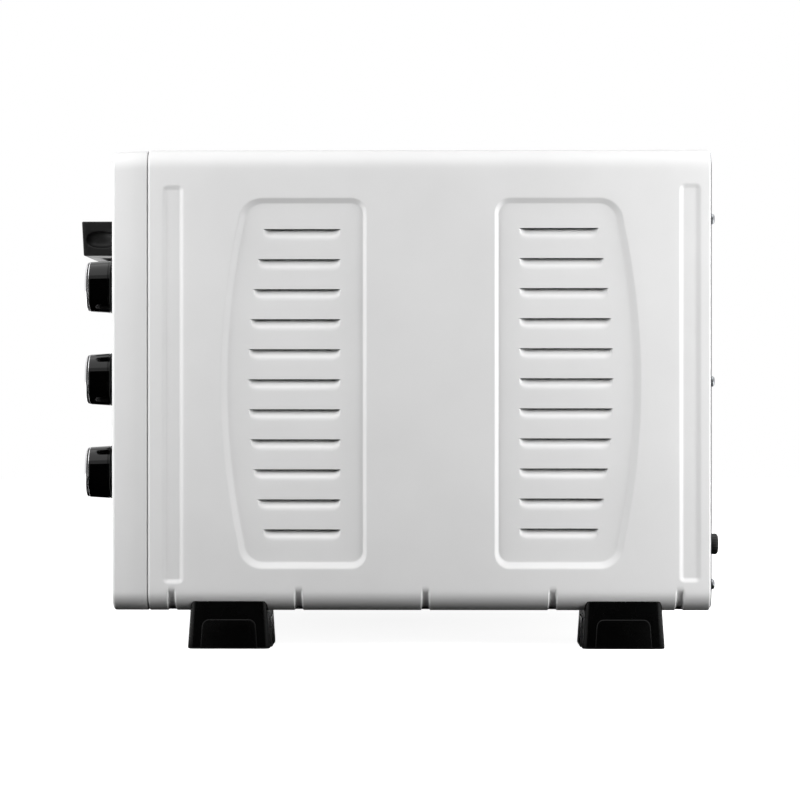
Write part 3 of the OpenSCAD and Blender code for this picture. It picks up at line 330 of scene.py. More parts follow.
@dataclass(frozen=True)
class Finish:
    """What every finish has: a name, a colour and how rough it is."""

    name: str
    colour: str
    roughness: float

    def settings(self) -> dict:
        """Gives the values that are the same all over the surface."""
        return {"Roughness": self.roughness}

    def pattern(self, tree: Tree, place: Socket) -> dict:
        """Adds the finish's pattern and gives the links to the shader."""
        return {}

    def material(self) -> bpy.types.Material:
        """Gives the material, made on its first use."""
        found = bpy.data.materials.get(self.name)
        if found:
            return found
        made = blank(self.name)
        tree = made.node_tree
        links = self.pattern(tree, put(tree, "ShaderNodeTexCoord").outputs["Object"])
        settings = {"Base Color": linear(self.colour), **self.settings()}
        shader = put(tree, "ShaderNodeBsdfPrincipled", settings, links)
        put(tree, "ShaderNodeOutputMaterial", links={"Surface": shader.outputs[0]})
        made.diffuse_color = linear(self.colour)
        return made

    def mottled(
        self, tree: Tree, factor: Socket, other: str, low: float = 0.35, high: float = 0.65
    ) -> Socket:
        """Blends the finish's colour with another one.

        Args:
            tree: The node tree.
            factor: The pattern that blends them.
            other: The other colour, as sRGB hex.
            low: Pattern value at which the finish's own colour is pure.
            high: Pattern value at which the other colour is pure.

        Returns:
            The blended colour.
        """
        ramp = put(tree, "ShaderNodeValToRGB", links={0: factor})
        ends = ((low, self.colour), (high, other))
        for element, (position, colour) in zip(ramp.color_ramp.elements, ends):
            element.position = position
            element.color = linear(colour)
        return ramp.outputs[0]


@dataclass(frozen=True)
class Metal(Finish):
    """Bare or plated metal."""

    def settings(self) -> dict:
        """Gives a full metal."""
        return {"Metallic": 1.0, "Roughness": self.roughness}


@dataclass(frozen=True)
class PowderCoat(Finish):
    """Baked powder coat on folded steel: a satin white with a fine orange-peel ripple."""

    peel_mm: float = 1.6
    shade: str = "#dedede"

    def settings(self) -> dict:
        """Gives a soft clear film over the pigment."""
        return {"IOR": 1.5, "Coat Weight": 0.12, "Coat Roughness": 0.18, "Roughness": self.roughness}

    def pattern(self, tree: Tree, place: Socket) -> dict:
        """Adds the ripple, a little uneven gloss, and a hardly visible cloudiness."""
        cloud, gloss = grains(tree, place, 90.0, 3.0), grains(tree, place, 14.0)
        return {
            "Base Color": self.mottled(tree, cloud, self.shade, 0.2, 0.8),
            "Roughness": spread(tree, gloss, self.roughness - 0.03, self.roughness + 0.04),
            "Normal": relief(tree, grains(tree, place, self.peel_mm), 0.012, 0.5),
        }


@dataclass(frozen=True)
class GalvanisedSteel(Metal):
    """Hot-dip galvanised sheet: grey crystals of zinc, each with its own tone and gloss."""

    spangle_mm: float = 4.5

    def pattern(self, tree: Tree, place: Socket) -> dict:
        """Adds the spangle and a fine skin-pass texture."""
        cells = put(tree, CELLS, {"Scale": per_metre(self.spangle_mm), "Randomness": 1.0}, {"Vector": place})
        tone = put(tree, "ShaderNodeSeparateColor", links={0: cells.outputs["Color"]}).outputs[0]
        return {
            "Base Color": self.mottled(tree, tone, "#96999c", 0.0, 1.0),
            "Roughness": spread(tree, tone, self.roughness, self.roughness + 0.05),
            "Normal": relief(tree, grains(tree, place, 0.8), 0.01, 0.4),
        }


@dataclass(frozen=True)
class RolledSteel(Metal):
    """Aluminised or stainless sheet as it comes from the mill: faint straight rolling lines."""

    axis: int = 1
    tint: str = "#8f8b84"

    def pattern(self, tree: Tree, place: Socket) -> dict:
        """Adds rolling lines, and patches that the heat has dulled."""
        scale = [per_metre(0.5)] * 3
        scale[self.axis] = per_metre(60.0)
        drawn = put(tree, MAPPING, {"Scale": scale}, {"Vector": place}).outputs[0]
        lines = put(tree, NOISE, {"Scale": 1.0, "Detail": 3.0}, {"Vector": drawn}).outputs[0]
        return {
            "Base Color": self.mottled(tree, grains(tree, place, 70.0, 3.0), self.tint, 0.35, 0.8),
            "Roughness": spread(tree, lines, self.roughness - 0.05, self.roughness + 0.07),
            "Normal": relief(tree, lines, 0.006, 0.4),
        }


@dataclass(frozen=True)
class ChromePlate(Metal):
    """Bright chrome on polished metal or plastic: a mirror with a trace of wiping marks."""

    def pattern(self, tree: Tree, place: Socket) -> dict:
        """Adds the wiping marks as uneven gloss."""
        marks = grains(tree, place, 6.0, 4.0)
        return {"Roughness": spread(tree, marks, self.roughness * 0.7, self.roughness * 1.6)}


@dataclass(frozen=True)
class MouldedPlastic(Finish):
    """Injection-moulded ABS, nylon or phenolic resin, with the spark-eroded grain of its mould."""

    grain_mm: float = 0.5
    depth_mm: float = 0.02
    specular: float = 0.5
    tone: str = ""

    def settings(self) -> dict:
        """Gives a dielectric with the resin's shine."""
        return {"IOR": 1.49, "Roughness": self.roughness, "Specular IOR Level": self.specular}

    def pattern(self, tree: Tree, place: Socket) -> dict:
        """Adds the mould's grain and slight flow marks."""
        flow = grains(tree, place, 22.0, 3.0)
        links = {
            "Roughness": spread(tree, flow, self.roughness * 0.9, self.roughness * 1.15),
            "Normal": relief(tree, grains(tree, place, self.grain_mm), self.depth_mm, 0.5),
        }
        if self.tone:
            links["Base Color"] = self.mottled(tree, flow, self.tone)
        return links


@dataclass(frozen=True)
class CastPorcelain(Finish):
    """Fired steatite: chalky white with a faint pitting."""

    def pattern(self, tree: Tree, place: Socket) -> dict:
        """Adds the pitting."""
        pits = grains(tree, place, 0.7, 4.0)
        return {"Base Color": self.mottled(tree, pits, "#cfc9bc"), "Normal": relief(tree, pits, 0.03)}


@dataclass(frozen=True)
class MouldedRubber(Finish):
    """Vulcanised rubber or silicone: matt, with a dusting of talc in its pores."""

    dust: str = "#2c2c2c"

    def pattern(self, tree: Tree, place: Socket) -> dict:
        """Adds pores and talc."""
        pores = grains(tree, place, 0.9, 3.0)
        colour = self.mottled(tree, pores, self.dust, 0.45, 0.8)
        return {"Base Color": colour, "Normal": relief(tree, pores, 0.03)}


@dataclass(frozen=True)
class TemperedGlass(Finish):
    """Tempered float glass, clear or tinted in the melt: flat, glossy, with a trace of rolling waves."""

    def settings(self) -> dict:
        """Gives a clear body."""
        return {"IOR": 1.52, "Roughness": self.roughness, "Transmission Weight": 1.0}

    def pattern(self, tree: Tree, place: Socket) -> dict:
        """Adds the roller waves."""
        return {"Normal": relief(tree, grains(tree, place, 45.0), 0.01, 0.15)}


@dataclass(frozen=True)
class HeaterSheath(Finish):
    """Oxidised heat-resisting steel tube: dull grey-brown with bands of temper colour."""

    def settings(self) -> dict:
        """Gives a dull metal."""
        return {"Metallic": 0.9, "Roughness": self.roughness}

    def pattern(self, tree: Tree, place: Socket) -> dict:
        """Adds temper bands along the tube and scale."""
        temper, scale = grains(tree, place, 26.0, 3.0), grains(tree, place, 1.2, 4.0)
        return {"Base Color": self.mottled(tree, temper, "#5d4a3d"), "Normal": relief(tree, scale, 0.02, 0.5)}


@dataclass(frozen=True)
class NonStick(Finish):
    """Sprayed non-stick coating on a pressed tray: dark grey with fine metallic flakes."""

    def settings(self) -> dict:
        """Gives a part-metallic film."""
        return {"Metallic": 0.25, "Roughness": self.roughness}

    def pattern(self, tree: Tree, place: Socket) -> dict:
        """Adds the flakes and the spray's pebbling."""
        flakes = put(tree, CELLS, {"Scale": per_metre(1.1)}, {"Vector": place}).outputs["Distance"]
        colour = self.mottled(tree, flakes, "#1b1b1c", 0.1, 0.5)
        return {"Base Color": colour, "Normal": relief(tree, grains(tree, place, 1.4), 0.02, 0.5)}


@dataclass(frozen=True)
class WovenSleeve(Finish):
    """Braided glass-fibre sleeve, dipped in silicone: a fine basket weave."""

    strand_mm: float = 1.2

    def pattern(self, tree: Tree, place: Socket) -> dict:
        """Adds the braid as two crossing bands."""
        one, two = (bands(tree, place, self.strand_mm, way) for way in ("DIAGONAL", "Z"))
        both = put(tree, MATH, {"operation": "MULTIPLY"}, {0: one, 1: two}).outputs[0]
        colour = self.mottled(tree, both, "#5a5a5c", 0.1, 0.7)
        return {"Base Color": colour, "Normal": relief(tree, both, 0.1, 0.6)}


@dataclass(frozen=True)
class PrintedInk(Finish):
    """Screen-printed ink: a thin matt film whose face is a little uneven."""

    def pattern(self, tree: Tree, place: Socket) -> dict:
        """Adds the film's fine texture as relief."""
        return {"Normal": relief(tree, grains(tree, place, 0.25), 0.004, 0.5)}


@dataclass(frozen=True)
class SignalLens(Finish):
    """Clear amber polycarbonate, moulded with fine prism ribs inside."""

    def settings(self) -> dict:
        """Gives a tinted clear body."""
        return {"IOR": 1.58, "Roughness": self.roughness, "Transmission Weight": 0.5}

    def pattern(self, tree: Tree, place: Socket) -> dict:
        """Adds the ribs."""
        return {"Normal": relief(tree, bands(tree, place, 1.0, "Z"), 0.03, 0.3)}


class Finishes(Enum):
    """The oven's finishes."""

    # Satin white: bright, slightly soft reflections.
    CASE_WHITE = PowderCoat("powder_coated_steel_white", "#e6e6e6", 0.42)
    FASCIA_WHITE = PowderCoat("powder_coated_fascia_white", "#e4e4e4", 0.36, peel_mm=1.2)
    ZINC_SHEET = GalvanisedSteel("galvanised_steel_sheet", "#a9acaf", 0.42)
    CAVITY_STEEL = RolledSteel("aluminised_steel_rolled", "#c9c8c5", 0.3)
    ZINC_SCREW = RolledSteel("zinc_plated_steel_turned", "#a2a4a7", 0.28, axis=2, tint="#85878a")
    MOTOR_STEEL = RolledSteel("laminated_motor_steel", "#77797c", 0.45, axis=0, tint="#5c5d60")
    CHROME_WIRE = ChromePlate("chrome_plated_wire", "#d2d3d6", 0.1)
    CHROME_RING = ChromePlate("chrome_plated_ring", "#dcdcde", 0.07)
    HEATER = HeaterSheath("heater_sheath_oxidised", "#6c6a68", 0.5)
    PORCELAIN = CastPorcelain("steatite_fired", "#e6e1d6", 0.7)
    # Moulded ABS with a fine matt grain.
    BLACK_GRAIN = MouldedPlastic("abs_black_grained", "#161616", 0.4, grain_mm=0.5, specular=0.3)
    FOOT_BLACK = MouldedPlastic("abs_black_foot", "#030303", 0.26, 0.9, 0.006, specular=0.25)
    # Polished ABS: deep black, sharp highlights.
    BLACK_GLOSS = MouldedPlastic("abs_black_polished", "#020202", 0.05, 3.0, 0.003, specular=0.3)
    BUSH_NYLON = MouldedPlastic("nylon_black_moulded", "#131313", 0.4, specular=0.3)
    PHENOLIC = MouldedPlastic("phenolic_brown_moulded", "#4a3428", 0.4, tone="#3a281f")
    IVORY = MouldedPlastic("nylon_ivory_moulded", "#ddd4ba", 0.45, tone="#d2c8ab")
    PAD_RUBBER = MouldedRubber("rubber_pad_moulded", "#141414", 0.75)
    SEAL = MouldedRubber("silicone_seal_extruded", "#2a2a2b", 0.55, dust="#3a3a3b")
    TINTED_GLASS = TemperedGlass("tempered_glass_tinted", "#5c5d60", 0.01)
    CLEAR_GLASS = TemperedGlass("tempered_glass_clear", "#e9f1ee", 0.01)
    TRAY = NonStick("nonstick_coated_steel", "#37373a", 0.42)
    SLEEVE = WovenSleeve("glass_fibre_sleeve_braided", "#2d2d2f", 0.7)
    BLACK_INK = PrintedInk("ink_black_screen_printed", "#141414", 0.5)
    GREY_INK = PrintedInk("ink_grey_screen_printed", "#3c3d3f", 0.55)
    WHITE_INK = PrintedInk("ink_white_pad_printed", "#eeeeee", 0.5)
    LENS = SignalLens("polycarbonate_amber_moulded", "#b8481a", 0.12)

    def material(self) -> bpy.types.Material:
        """Gives the Blender material of this finish."""
        return self.value.material()


# The frame's places ------------------------------------------------------------------------------


@dataclass(frozen=True)
class Places:
    """Main planes of the oven in millimetres, taken from the CAD frame at rest."""

    half_w: float
    z_low: float
    z_high: float
    y_front: float
    y_cover: float
    y_rear: float

    @staticmethod
    def read() -> Places:
        """Reads them from the frame's nodes."""
        lo, hi = (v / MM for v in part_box("outer_cover"))
        return Places(hi.x, lo.z, hi.z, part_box("front_frame")[0].y / MM, lo.y, hi.y)

    @property
    def z_mid(self) -> float:
        """Height of the middle of the case."""
        return (self.z_low + self.z_high) / 2


def middle(node: str) -> Vector:
    """Gives the middle of a CAD node's box in millimetres."""
    lo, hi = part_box(node)
    return (lo + hi) / 2 / MM


def corners(node: str) -> tuple[Vector, Vector]:
    """Gives the two corners of a CAD node's box in millimetres."""
    lo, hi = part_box(node)
    return lo / MM, hi / MM


def fit(piece: Piece, body: str, nodes: Sequence[str] = ()) -> Piece:
    """Puts a new piece on its body.

    Args:
        piece: The piece.
        body: The CAD body that it moves with.
        nodes: CAD nodes that it stands for.

    Returns:
        The same piece.
    """
    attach(piece, body)
    if nodes:
        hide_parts(*nodes)
    LOG.info("%s: %d faces, moves with %s", piece.name, len(piece.data.polygons), body)
    return piece


@dataclass
class Dresser:
    """Gives CAD nodes soft edges and a finish."""

    nodes: dict[str, Piece]
    edge_angle: float = 32.0

    def dress(
        self, names: Sequence[str], finish: Finishes, edge_mm: float = 0.3, spans: int = 2, flat: bool = False
    ) -> None:
        """Dresses nodes that share a finish; edges that turn by more than edge_angle are softened.

        Args:
            names: The nodes.
            finish: Their finish.
            edge_mm: Width of the softened edges, 0 for none.
            spans: Segments across each softened edge.
            flat: Whether the node is all flat sheet, whose faces keep their own direction.
        """
        for name in names:
            node = self.nodes[name]
            node.data.materials.clear()
            node.data.materials.append(finish.material())
            node.data.polygons.foreach_set("use_smooth", [not flat] * len(node.data.polygons))
            weld = node.modifiers.new("weld", "WELD")
            weld.merge_threshold = 2e-6
            if edge_mm:
                soft = node.modifiers.new("soft_edges", "BEVEL")
                soft.width = edge_mm * MM
                soft.segments = spans
                soft.limit_method = "ANGLE"
                soft.angle_limit = math.radians(self.edge_angle)
                soft.use_clamp_overlap = True
                soft.harden_normals = False
            if not flat:
                normals = node.modifiers.new("even_normals", "WEIGHTED_NORMAL")
                normals.keep_sharp = True
            LOG.info("%s: dressed in %s", name, finish.value.name)


# Cover -------------------------------------------------------------------------------------------


@dataclass
class SheetPlan:
    """The unrolled sheet: points with how deep the presses push each one, and the slits cut in it."""

    points: list[Vector] = field(default_factory=list)
    depths: list[float] = field(default_factory=list)
    edges: list[tuple[int, int]] = field(default_factory=list)
    slits: list[Points] = field(default_factory=list)

    def add(self, w: float, v: float, depth: float = 0.0) -> int:
        """Adds a point and gives its number."""
        self.points.append(Vector((w, v)))
        self.depths.append(depth)
        return len(self.points) - 1

    def line(self, numbers: Sequence[int], closed: bool = False) -> None:
        """Keeps the edges along a row of points."""
        ends = list(numbers[1:]) + ([numbers[0]] if closed else [])
        self.edges += list(zip(numbers, ends))

    def in_slit(self, w: float, v: float) -> bool:
        """Tells whether a point lies in one of the slits."""
        return any(inside(s, w, v) for s in self.slits if s[0][1] - 9 < v < s[0][1] + 9)


def inside(outline: Sequence[tuple[float, float]], x: float, y: float) -> bool:
    """Tells whether a point lies inside a closed outline."""
    hit = False
    for (ax, ay), (bx, by) in zip(outline, list(outline[1:]) + [outline[0]]):
        if (ay > y) != (by > y) and x < ax + (y - ay) * (bx - ax) / (by - ay):
            hit = not hit
    return hit


@dataclass
class Cover:
    """The case's outer cover: one sheet folded over both sides, with its pressed fields."""

    at: Places
    sheet: float = 0.8
    bend: float = 15.0
    flange: float = 22.0
    front_roll: float = 1.7
    rear_roll: float = 1.3
    rear_flange: float = 11.0
    wall_straight: float = 3.7
    wall_bow: float = 6.2
    wall_top: float = 5.0
    wall_low: float = 6.4
    bead_w: float = 17.8
    bead_len: float = 301.0
    bead_depth: float = 1.3
    bead_wall: float = 4.8
    bead_front: float = 19.0
    bead_rear: float = 15.5
    bead_corner: float = 5.0
    bead_ease: float = 0.42
    bead_drop: float = 2.2
    bead_drop_front: float = 1.2
    field_w: float = 110.8
    field_h: float = 280.0
    field_depth: float = 2.3
    field_bow: float = 571.0
    field_corner: float = 12.0
    field_corner_bow: float = 18.5
    field_gap: float = 95.4
    field_shift: float = 14.8
    field_drop: float = 2.6
    louvres: int = 11
    pitch: float = 22.6
    louvre_len: float = 68.8
    louvre_margin: float = 20.5
    louvre_end: float = 7.0
    louvre_rise_front: float = 3.2
    louvre_rise_rear: float = 3.9
    louvre_reach_rear: float = 1.2
    blade: tuple[tuple[float, float], ...] = (
        (-0.75, 0.0), (0.0, 0.0), (0.9, 4.3), (1.5, 3.75), (2.1, 3.25), (2.75, 2.8), (3.4, 2.4),
        (4.0, 1.95), (4.75, 1.34), (5.6, 0.76), (6.5, 0.38), (7.6, 0.14), (9.0, 0.03), (10.2, 0.0),
    )
    darts: int = 5
    dart_first: float = 44.7
    dart_pitch: float = 95.6
    dart_half: float = 3.5
    dart_depth: float = 2.9
    dart_shift: float = 4.0
    dart_reach: float = 4.6

    def __post_init__(self) -> None:
        """Works out where the folds lie on the unrolled sheet."""
        quarter = self.bend * math.pi / 2
        self.v_top = self.at.half_w - self.bend
        self.v_side = self.v_top + quarter
        self.v_foot = self.v_side + (self.at.z_high - self.at.z_low - 2 * self.bend)
        self.v_base = self.v_foot + quarter
        self.v_end = self.v_base + self.flange
        self.w_front = self.front_roll * math.pi / 2
        self.w_rear = self.w_front + (self.at.y_rear - self.at.y_cover - self.front_roll - self.rear_roll)
        self.w_lip = self.w_rear + self.rear_roll * math.pi / 2
        self.field_y = (self.at.y_front + self.at.y_rear) / 2 + self.field_shift
        self.field_z = self.at.z_mid - self.field_drop
        self.bead_z = self.at.z_mid - self.bead_drop

    def w_of(self, y: float) -> float:
        """Gives the place of depth y on the unrolled sheet."""
        return self.w_front + y - self.at.y_cover - self.front_roll

    def v_of(self, z: float) -> float:
        """Gives the place of height z of the side wall on the unrolled sheet."""
        return self.v_side + self.at.z_high - self.bend - z

    def across(self, w: float) -> tuple[float, float]:
        """Gives depth y and the inward shift that the rolled front and rear edges add at w."""
        if w < self.w_front:
            a = w / self.front_roll
            return self.at.y_cover + self.front_roll * (1 - math.cos(a)), self.front_roll * (1 - math.sin(a))
        if w <= self.w_rear:
            return self.at.y_cover + self.front_roll + w - self.w_front, 0.0
        a = min(math.pi / 2, (w - self.w_rear) / self.rear_roll)
        extra = max(0.0, w - self.w_lip)
        return self.at.y_rear - self.rear_roll * (1 - math.sin(a)), self.rear_roll * (1 - math.cos(a)) + extra

    def along(self, v: float) -> tuple[float, float, float, float]:
        """Gives x and z of the right half's path at v, and the inward direction there."""
        half, low, high, r = self.at.half_w, self.at.z_low, self.at.z_high, self.bend
        if v < self.v_top:
            return v, high, 0.0, -1.0
        if v < self.v_side:
            a = math.pi / 2 - (v - self.v_top) / r
            return half - r + r * math.cos(a), high - r + r * math.sin(a), -math.cos(a), -math.sin(a)
        if v < self.v_foot:
            return half, high - r - (v - self.v_side), -1.0, 0.0
        if v < self.v_base:
            a = -(v - self.v_foot) / r
            return half - r + r * math.cos(a), low + r + r * math.sin(a), -math.cos(a), -math.sin(a)
        return half - r - (v - self.v_base), low, 0.0, 1.0

    def dart(self, w: float, v: float) -> float:
        """Gives how deep the darts across the lower bend push the sheet."""
        y = self.across(w)[0]
        eighth = self.bend * math.pi / 4
        along = (v - self.v_foot - eighth - self.dart_shift) / (eighth + self.dart_reach)
        if abs(along) >= 1:
            return 0.0
        reach = 0.0
        for i in range(self.darts):
            off = abs(y - self.at.y_front - self.dart_first - i * self.dart_pitch) / self.dart_half
            if off < 1:
                reach = max(reach, pressed((1 - off) / 0.5, 0.3))
        return self.dart_depth * reach * (1 - along**6) ** 0.8

    def grid(self, plan: SheetPlan) -> None:
        """Adds the rows along the folds and along the front and rear edges."""
        front = [self.w_front * i / 5 for i in range(6)] + [self.w_front + 0.7, self.w_front + 3]
        rear = [self.w_rear - 3, self.w_rear - 0.7]
        rear += [self.w_rear + (self.w_lip - self.w_rear) * i / 5 for i in range(6)]
        rear += [self.w_lip + self.rear_flange * 0.4, self.w_lip + self.rear_flange]
        darts = []
        steps = (0.25, 0.45, 0.58, 0.68, 0.78, 0.88, 1.0, 1.15, 1.5)
        for i in range(self.darts):
            mid = self.w_of(self.at.y_front + self.dart_first + i * self.dart_pitch)
            darts += [mid + s * t * self.dart_half for s in (-1, 1) for t in steps] + [mid]
        plain = [self.w_front + 3 + (self.w_rear - self.w_front - 6) * i / 48 for i in range(1, 48)]
        low_plain = [w for w in plain if all(abs(w - d) > 2.5 for d in darts)]
        top_rows = [0.0, self.v_top * 0.33, self.v_top * 0.66, self.v_top - 4]
        top_rows += [self.v_top + (self.v_side - self.v_top) * i / 10 for i in range(11)] + [self.v_side + 3]
        low_rows = [self.v_foot - 5, self.v_foot - 2.5]
        low_rows += [self.v_foot + (self.v_base - self.v_foot) * i / 12 for i in range(13)]
        low_rows += [self.v_base + 2, self.v_base + 4.5, self.v_base + 7, self.v_base + 9, self.v_end]
        side_rows = [self.v_side + 3 + (self.v_foot - self.v_side - 8) * i / 28 for i in range(1, 28)]
        kept: dict[float, list[int]] = {w: [] for w in front + rear}
        for rows, places in ((top_rows, plain), (side_rows, []), (low_rows, low_plain + darts)):
            for v in rows:
                for w in sorted(front + places + rear):
                    number = plan.add(w, v, self.dart(w, v))
                    if w in kept:
                        kept[w].append(number)
        for column in kept.values():
            plan.line(column)

    def sink(
        self, plan: SheetPlan, outline: Callable[[float], Points], depth: float, ease: float = 0.22
    ) -> None:
        """Adds the rings of a pressed wall.

        Args:
            plan: The unrolled sheet.
            outline: Gives the (y, z) outline at a share of the wall's width, 0 outside and 1 inside.
            depth: How deep the floor lies.
            ease: Share of the wall that is rounded at each end.
        """
        for share in (-0.16, 0.0, 0.08, 0.16, 0.24, 0.4, 0.6, 0.76, 0.84, 0.92, 1.0, 1.16):
            sunk = depth * pressed(share, ease)
            ring = [plan.add(self.w_of(y), self.v_of(z), sunk) for y, z in outline(share)]
            plan.line(ring, closed=True)

    def bow(self, z: float) -> float:
        """Gives how far a field's bowed side has come in at height z from its middle."""
        return self.field_bow - math.sqrt(self.field_bow**2 - z * z)

    def field_outline(self, side: int, share: float) -> Points:
        """Gives the outline of a louvre field as (y, z) points; side is -1 for the front one."""
        near, far = self.wall_straight * share, self.field_w - self.wall_bow * share
        top, low = self.field_h / 2 - self.wall_top * share, -self.field_h / 2 + self.wall_low * share
        rs, rb = self.field_corner - 4.0 * share, self.field_corner_bow - 5.0 * share
        z_low, z_top = low + rb, top - rb
        tilt_low = math.degrees(math.asin(-z_low / self.field_bow))
        tilt_top = math.degrees(math.asin(z_top / self.field_bow))
        edge_low, edge_top = far - self.bow(z_low), far - self.bow(z_top)
        points = arc(near + rs, low + rs, rs, 180, 270, 7)
        points += between(points[-1], (edge_low - rb, low), 14)
        points += arc(edge_low - rb, z_low, rb, 270, 360 - tilt_low, 9)
        heights = [z_low + 1.5 + (z_top - z_low - 3.0) * k / 44 for k in range(45)]
        points += [(far - self.bow(z), z) for z in heights]
        points += arc(edge_top - rb, z_top, rb, tilt_top, 90, 9)
        points += between(points[-1], (near + rs, top), 14)
        points += arc(near + rs, top - rs, rs, 90, 180, 7)
        points += between(points[-1], points[0], 44)
        return [(self.field_y + side * (self.field_gap / 2 + a), self.field_z + b) for a, b in points]

    def louvre(self, plan: SheetPlan, side: int, i: int) -> None:
        """Adds one louvre: a slit with a blade below it that is pressed inwards and fades out."""
        offset = (i - (self.louvres - 1) / 2) * self.pitch
        margin = self.louvre_margin - (self.louvre_reach_rear if side > 0 else 0.0)
        length = self.louvre_len - self.bow(offset) + self.louvre_margin - margin
        z = self.field_z - offset + (self.louvre_rise_rear if side > 0 else self.louvre_rise_front)
        mid = self.field_y + side * (self.field_gap / 2 + margin + length / 2)
        spans = 30
        rows: list[list[int]] = []
        hole: Points = []
        lip: Points = []
        for k in range(spans + 1):
            s = -length / 2 * math.cos(math.pi * k / spans)
            near = min(1.0, (length / 2 - abs(s)) / self.louvre_end)
            e = math.sqrt(max(0.0, 1 - (1 - near) ** 2))
            column = []
            for n, (drop, depth) in enumerate(self.blade):
                down = drop * e if n < 6 else drop * (0.5 + 0.5 * e)
                if n == 2 and e < 1e-6:
                    column.append(column[-1])
                    continue
                w, v = self.w_of(mid + s), self.v_of(z - down)
                column.append(plan.add(w, v, self.field_depth + depth * e))
                if n == 1:
                    hole.append((w, v))
                if n == 2:
                    lip.append((w, v))
            rows.append(column)
        guard = (-1.2, 0.6, 2.4, 4.4, 6.6, 9.0)
        for end in (-1, 1):
            for gap in (1.0, 3.0):
                w = self.w_of(mid + end * (length / 2 + gap))
                plan.line([plan.add(w, self.v_of(z - down), self.field_depth) for down in guard])
        plan.line([c[1] for c in rows])
        plan.line([c[2] for c in rows])
        plan.slits.append(hole + lip[::-1])

    def bead_outline(self, y: float, share: float) -> Points:
        """Gives the outline of an upright bead as (y, z) points."""
        shrink = self.bead_wall * share
        w, h = self.bead_w - 2 * shrink, self.bead_len - 2 * shrink
        z = self.bead_z - (self.bead_drop_front if y < 0 else 0.0)
        return rounded_rect(w, h, max(0.6, self.bead_corner - shrink), y, z, 5, 12)

    def plan_half(self) -> SheetPlan:
        """Lays out the right half of the sheet."""
        plan = SheetPlan()
        self.grid(plan)
        for side in (-1, 1):
            self.sink(plan, lambda share, side=side: self.field_outline(side, share), self.field_depth)
            for i in range(self.louvres):
                self.louvre(plan, side, i)
        for y in (self.at.y_cover + self.bead_front, self.at.y_rear - self.bead_rear):
            self.sink(plan, lambda share, y=y: self.bead_outline(y, share), self.bead_depth, self.bead_ease)
        return plan

    def place(self, w: float, v: float, depth: float) -> Vector:
        """Folds a point of the unrolled sheet to its place."""
        y, shift = self.across(w)
        x, z, nx, nz = self.along(v)
        return Vector((x + nx * (depth + shift), y, z + nz * (depth + shift)))

    def build(self) -> None:
        """Cuts, presses and folds the sheet, and gives it its thickness."""
        plan = self.plan_half()
        points, _, faces, origins, _, _ = delaunay_2d_cdt(plan.points, plan.edges, [], 0, 1e-5)
        depths = [max((plan.depths[i] for i in o), default=0.0) for o in origins]
        kept = []
        for face in faces:
            cw = sum(points[i].x for i in face) / 3
            cv = sum(points[i].y for i in face) / 3
            if not plan.in_slit(cw, cv):
                kept.append(tuple(reversed(face)))
        right = [self.place(p.x, p.y, d) for p, d in zip(points, depths)]
        n = len(right)
        left = [Vector((-p.x, p.y, p.z)) for p in right]
        outer = Sheet(right + left, kept + [tuple(n + i for i in reversed(f)) for f in kept])
        piece = outer.build("oven_cover", Finishes.CASE_WHITE.material(), outward=False)
        self.thicken(piece.data)
        fit(piece, "case", ["outer_cover"])

    def thicken(self, mesh: bpy.types.Mesh) -> None:
        """Adds the inner skin and the cut edges.

        Args:
            mesh: The outer skin, which becomes the whole sheet.
        """
        made = bmesh.new()
        made.from_mesh(mesh)
        bmesh.ops.remove_doubles(made, verts=made.verts, dist=2e-6)
        made.normal_update()
        outer = list(made.verts)
        inner = [made.verts.new(v.co - v.normal * self.sheet * MM) for v in outer]
        made.verts.index_update()
        twin = {v: inner[i] for i, v in enumerate(outer)}
        rims = [e for e in made.edges if len(e.link_faces) == 1]
        skins = list(made.faces)
        for skin in skins:
            made.faces.new([twin[v] for v in reversed(skin.verts)])
        sharp = []
        for rim in rims:
            corner = next(c for c in rim.link_faces[0].loops if c.edge == rim)
            a, b = corner.vert, corner.link_loop_next.vert
            made.faces.new([b, a, twin[a], twin[b]])
            sharp.append((a, b))
        for a, b in sharp:
            made.edges.get((a, b)).smooth = False
            made.edges.get((twin[a], twin[b])).smooth = False
        for face in made.faces:
            face.smooth = True
        made.to_mesh(mesh)
        made.free()


# Front frame and fascia --------------------------------------------------------------------------


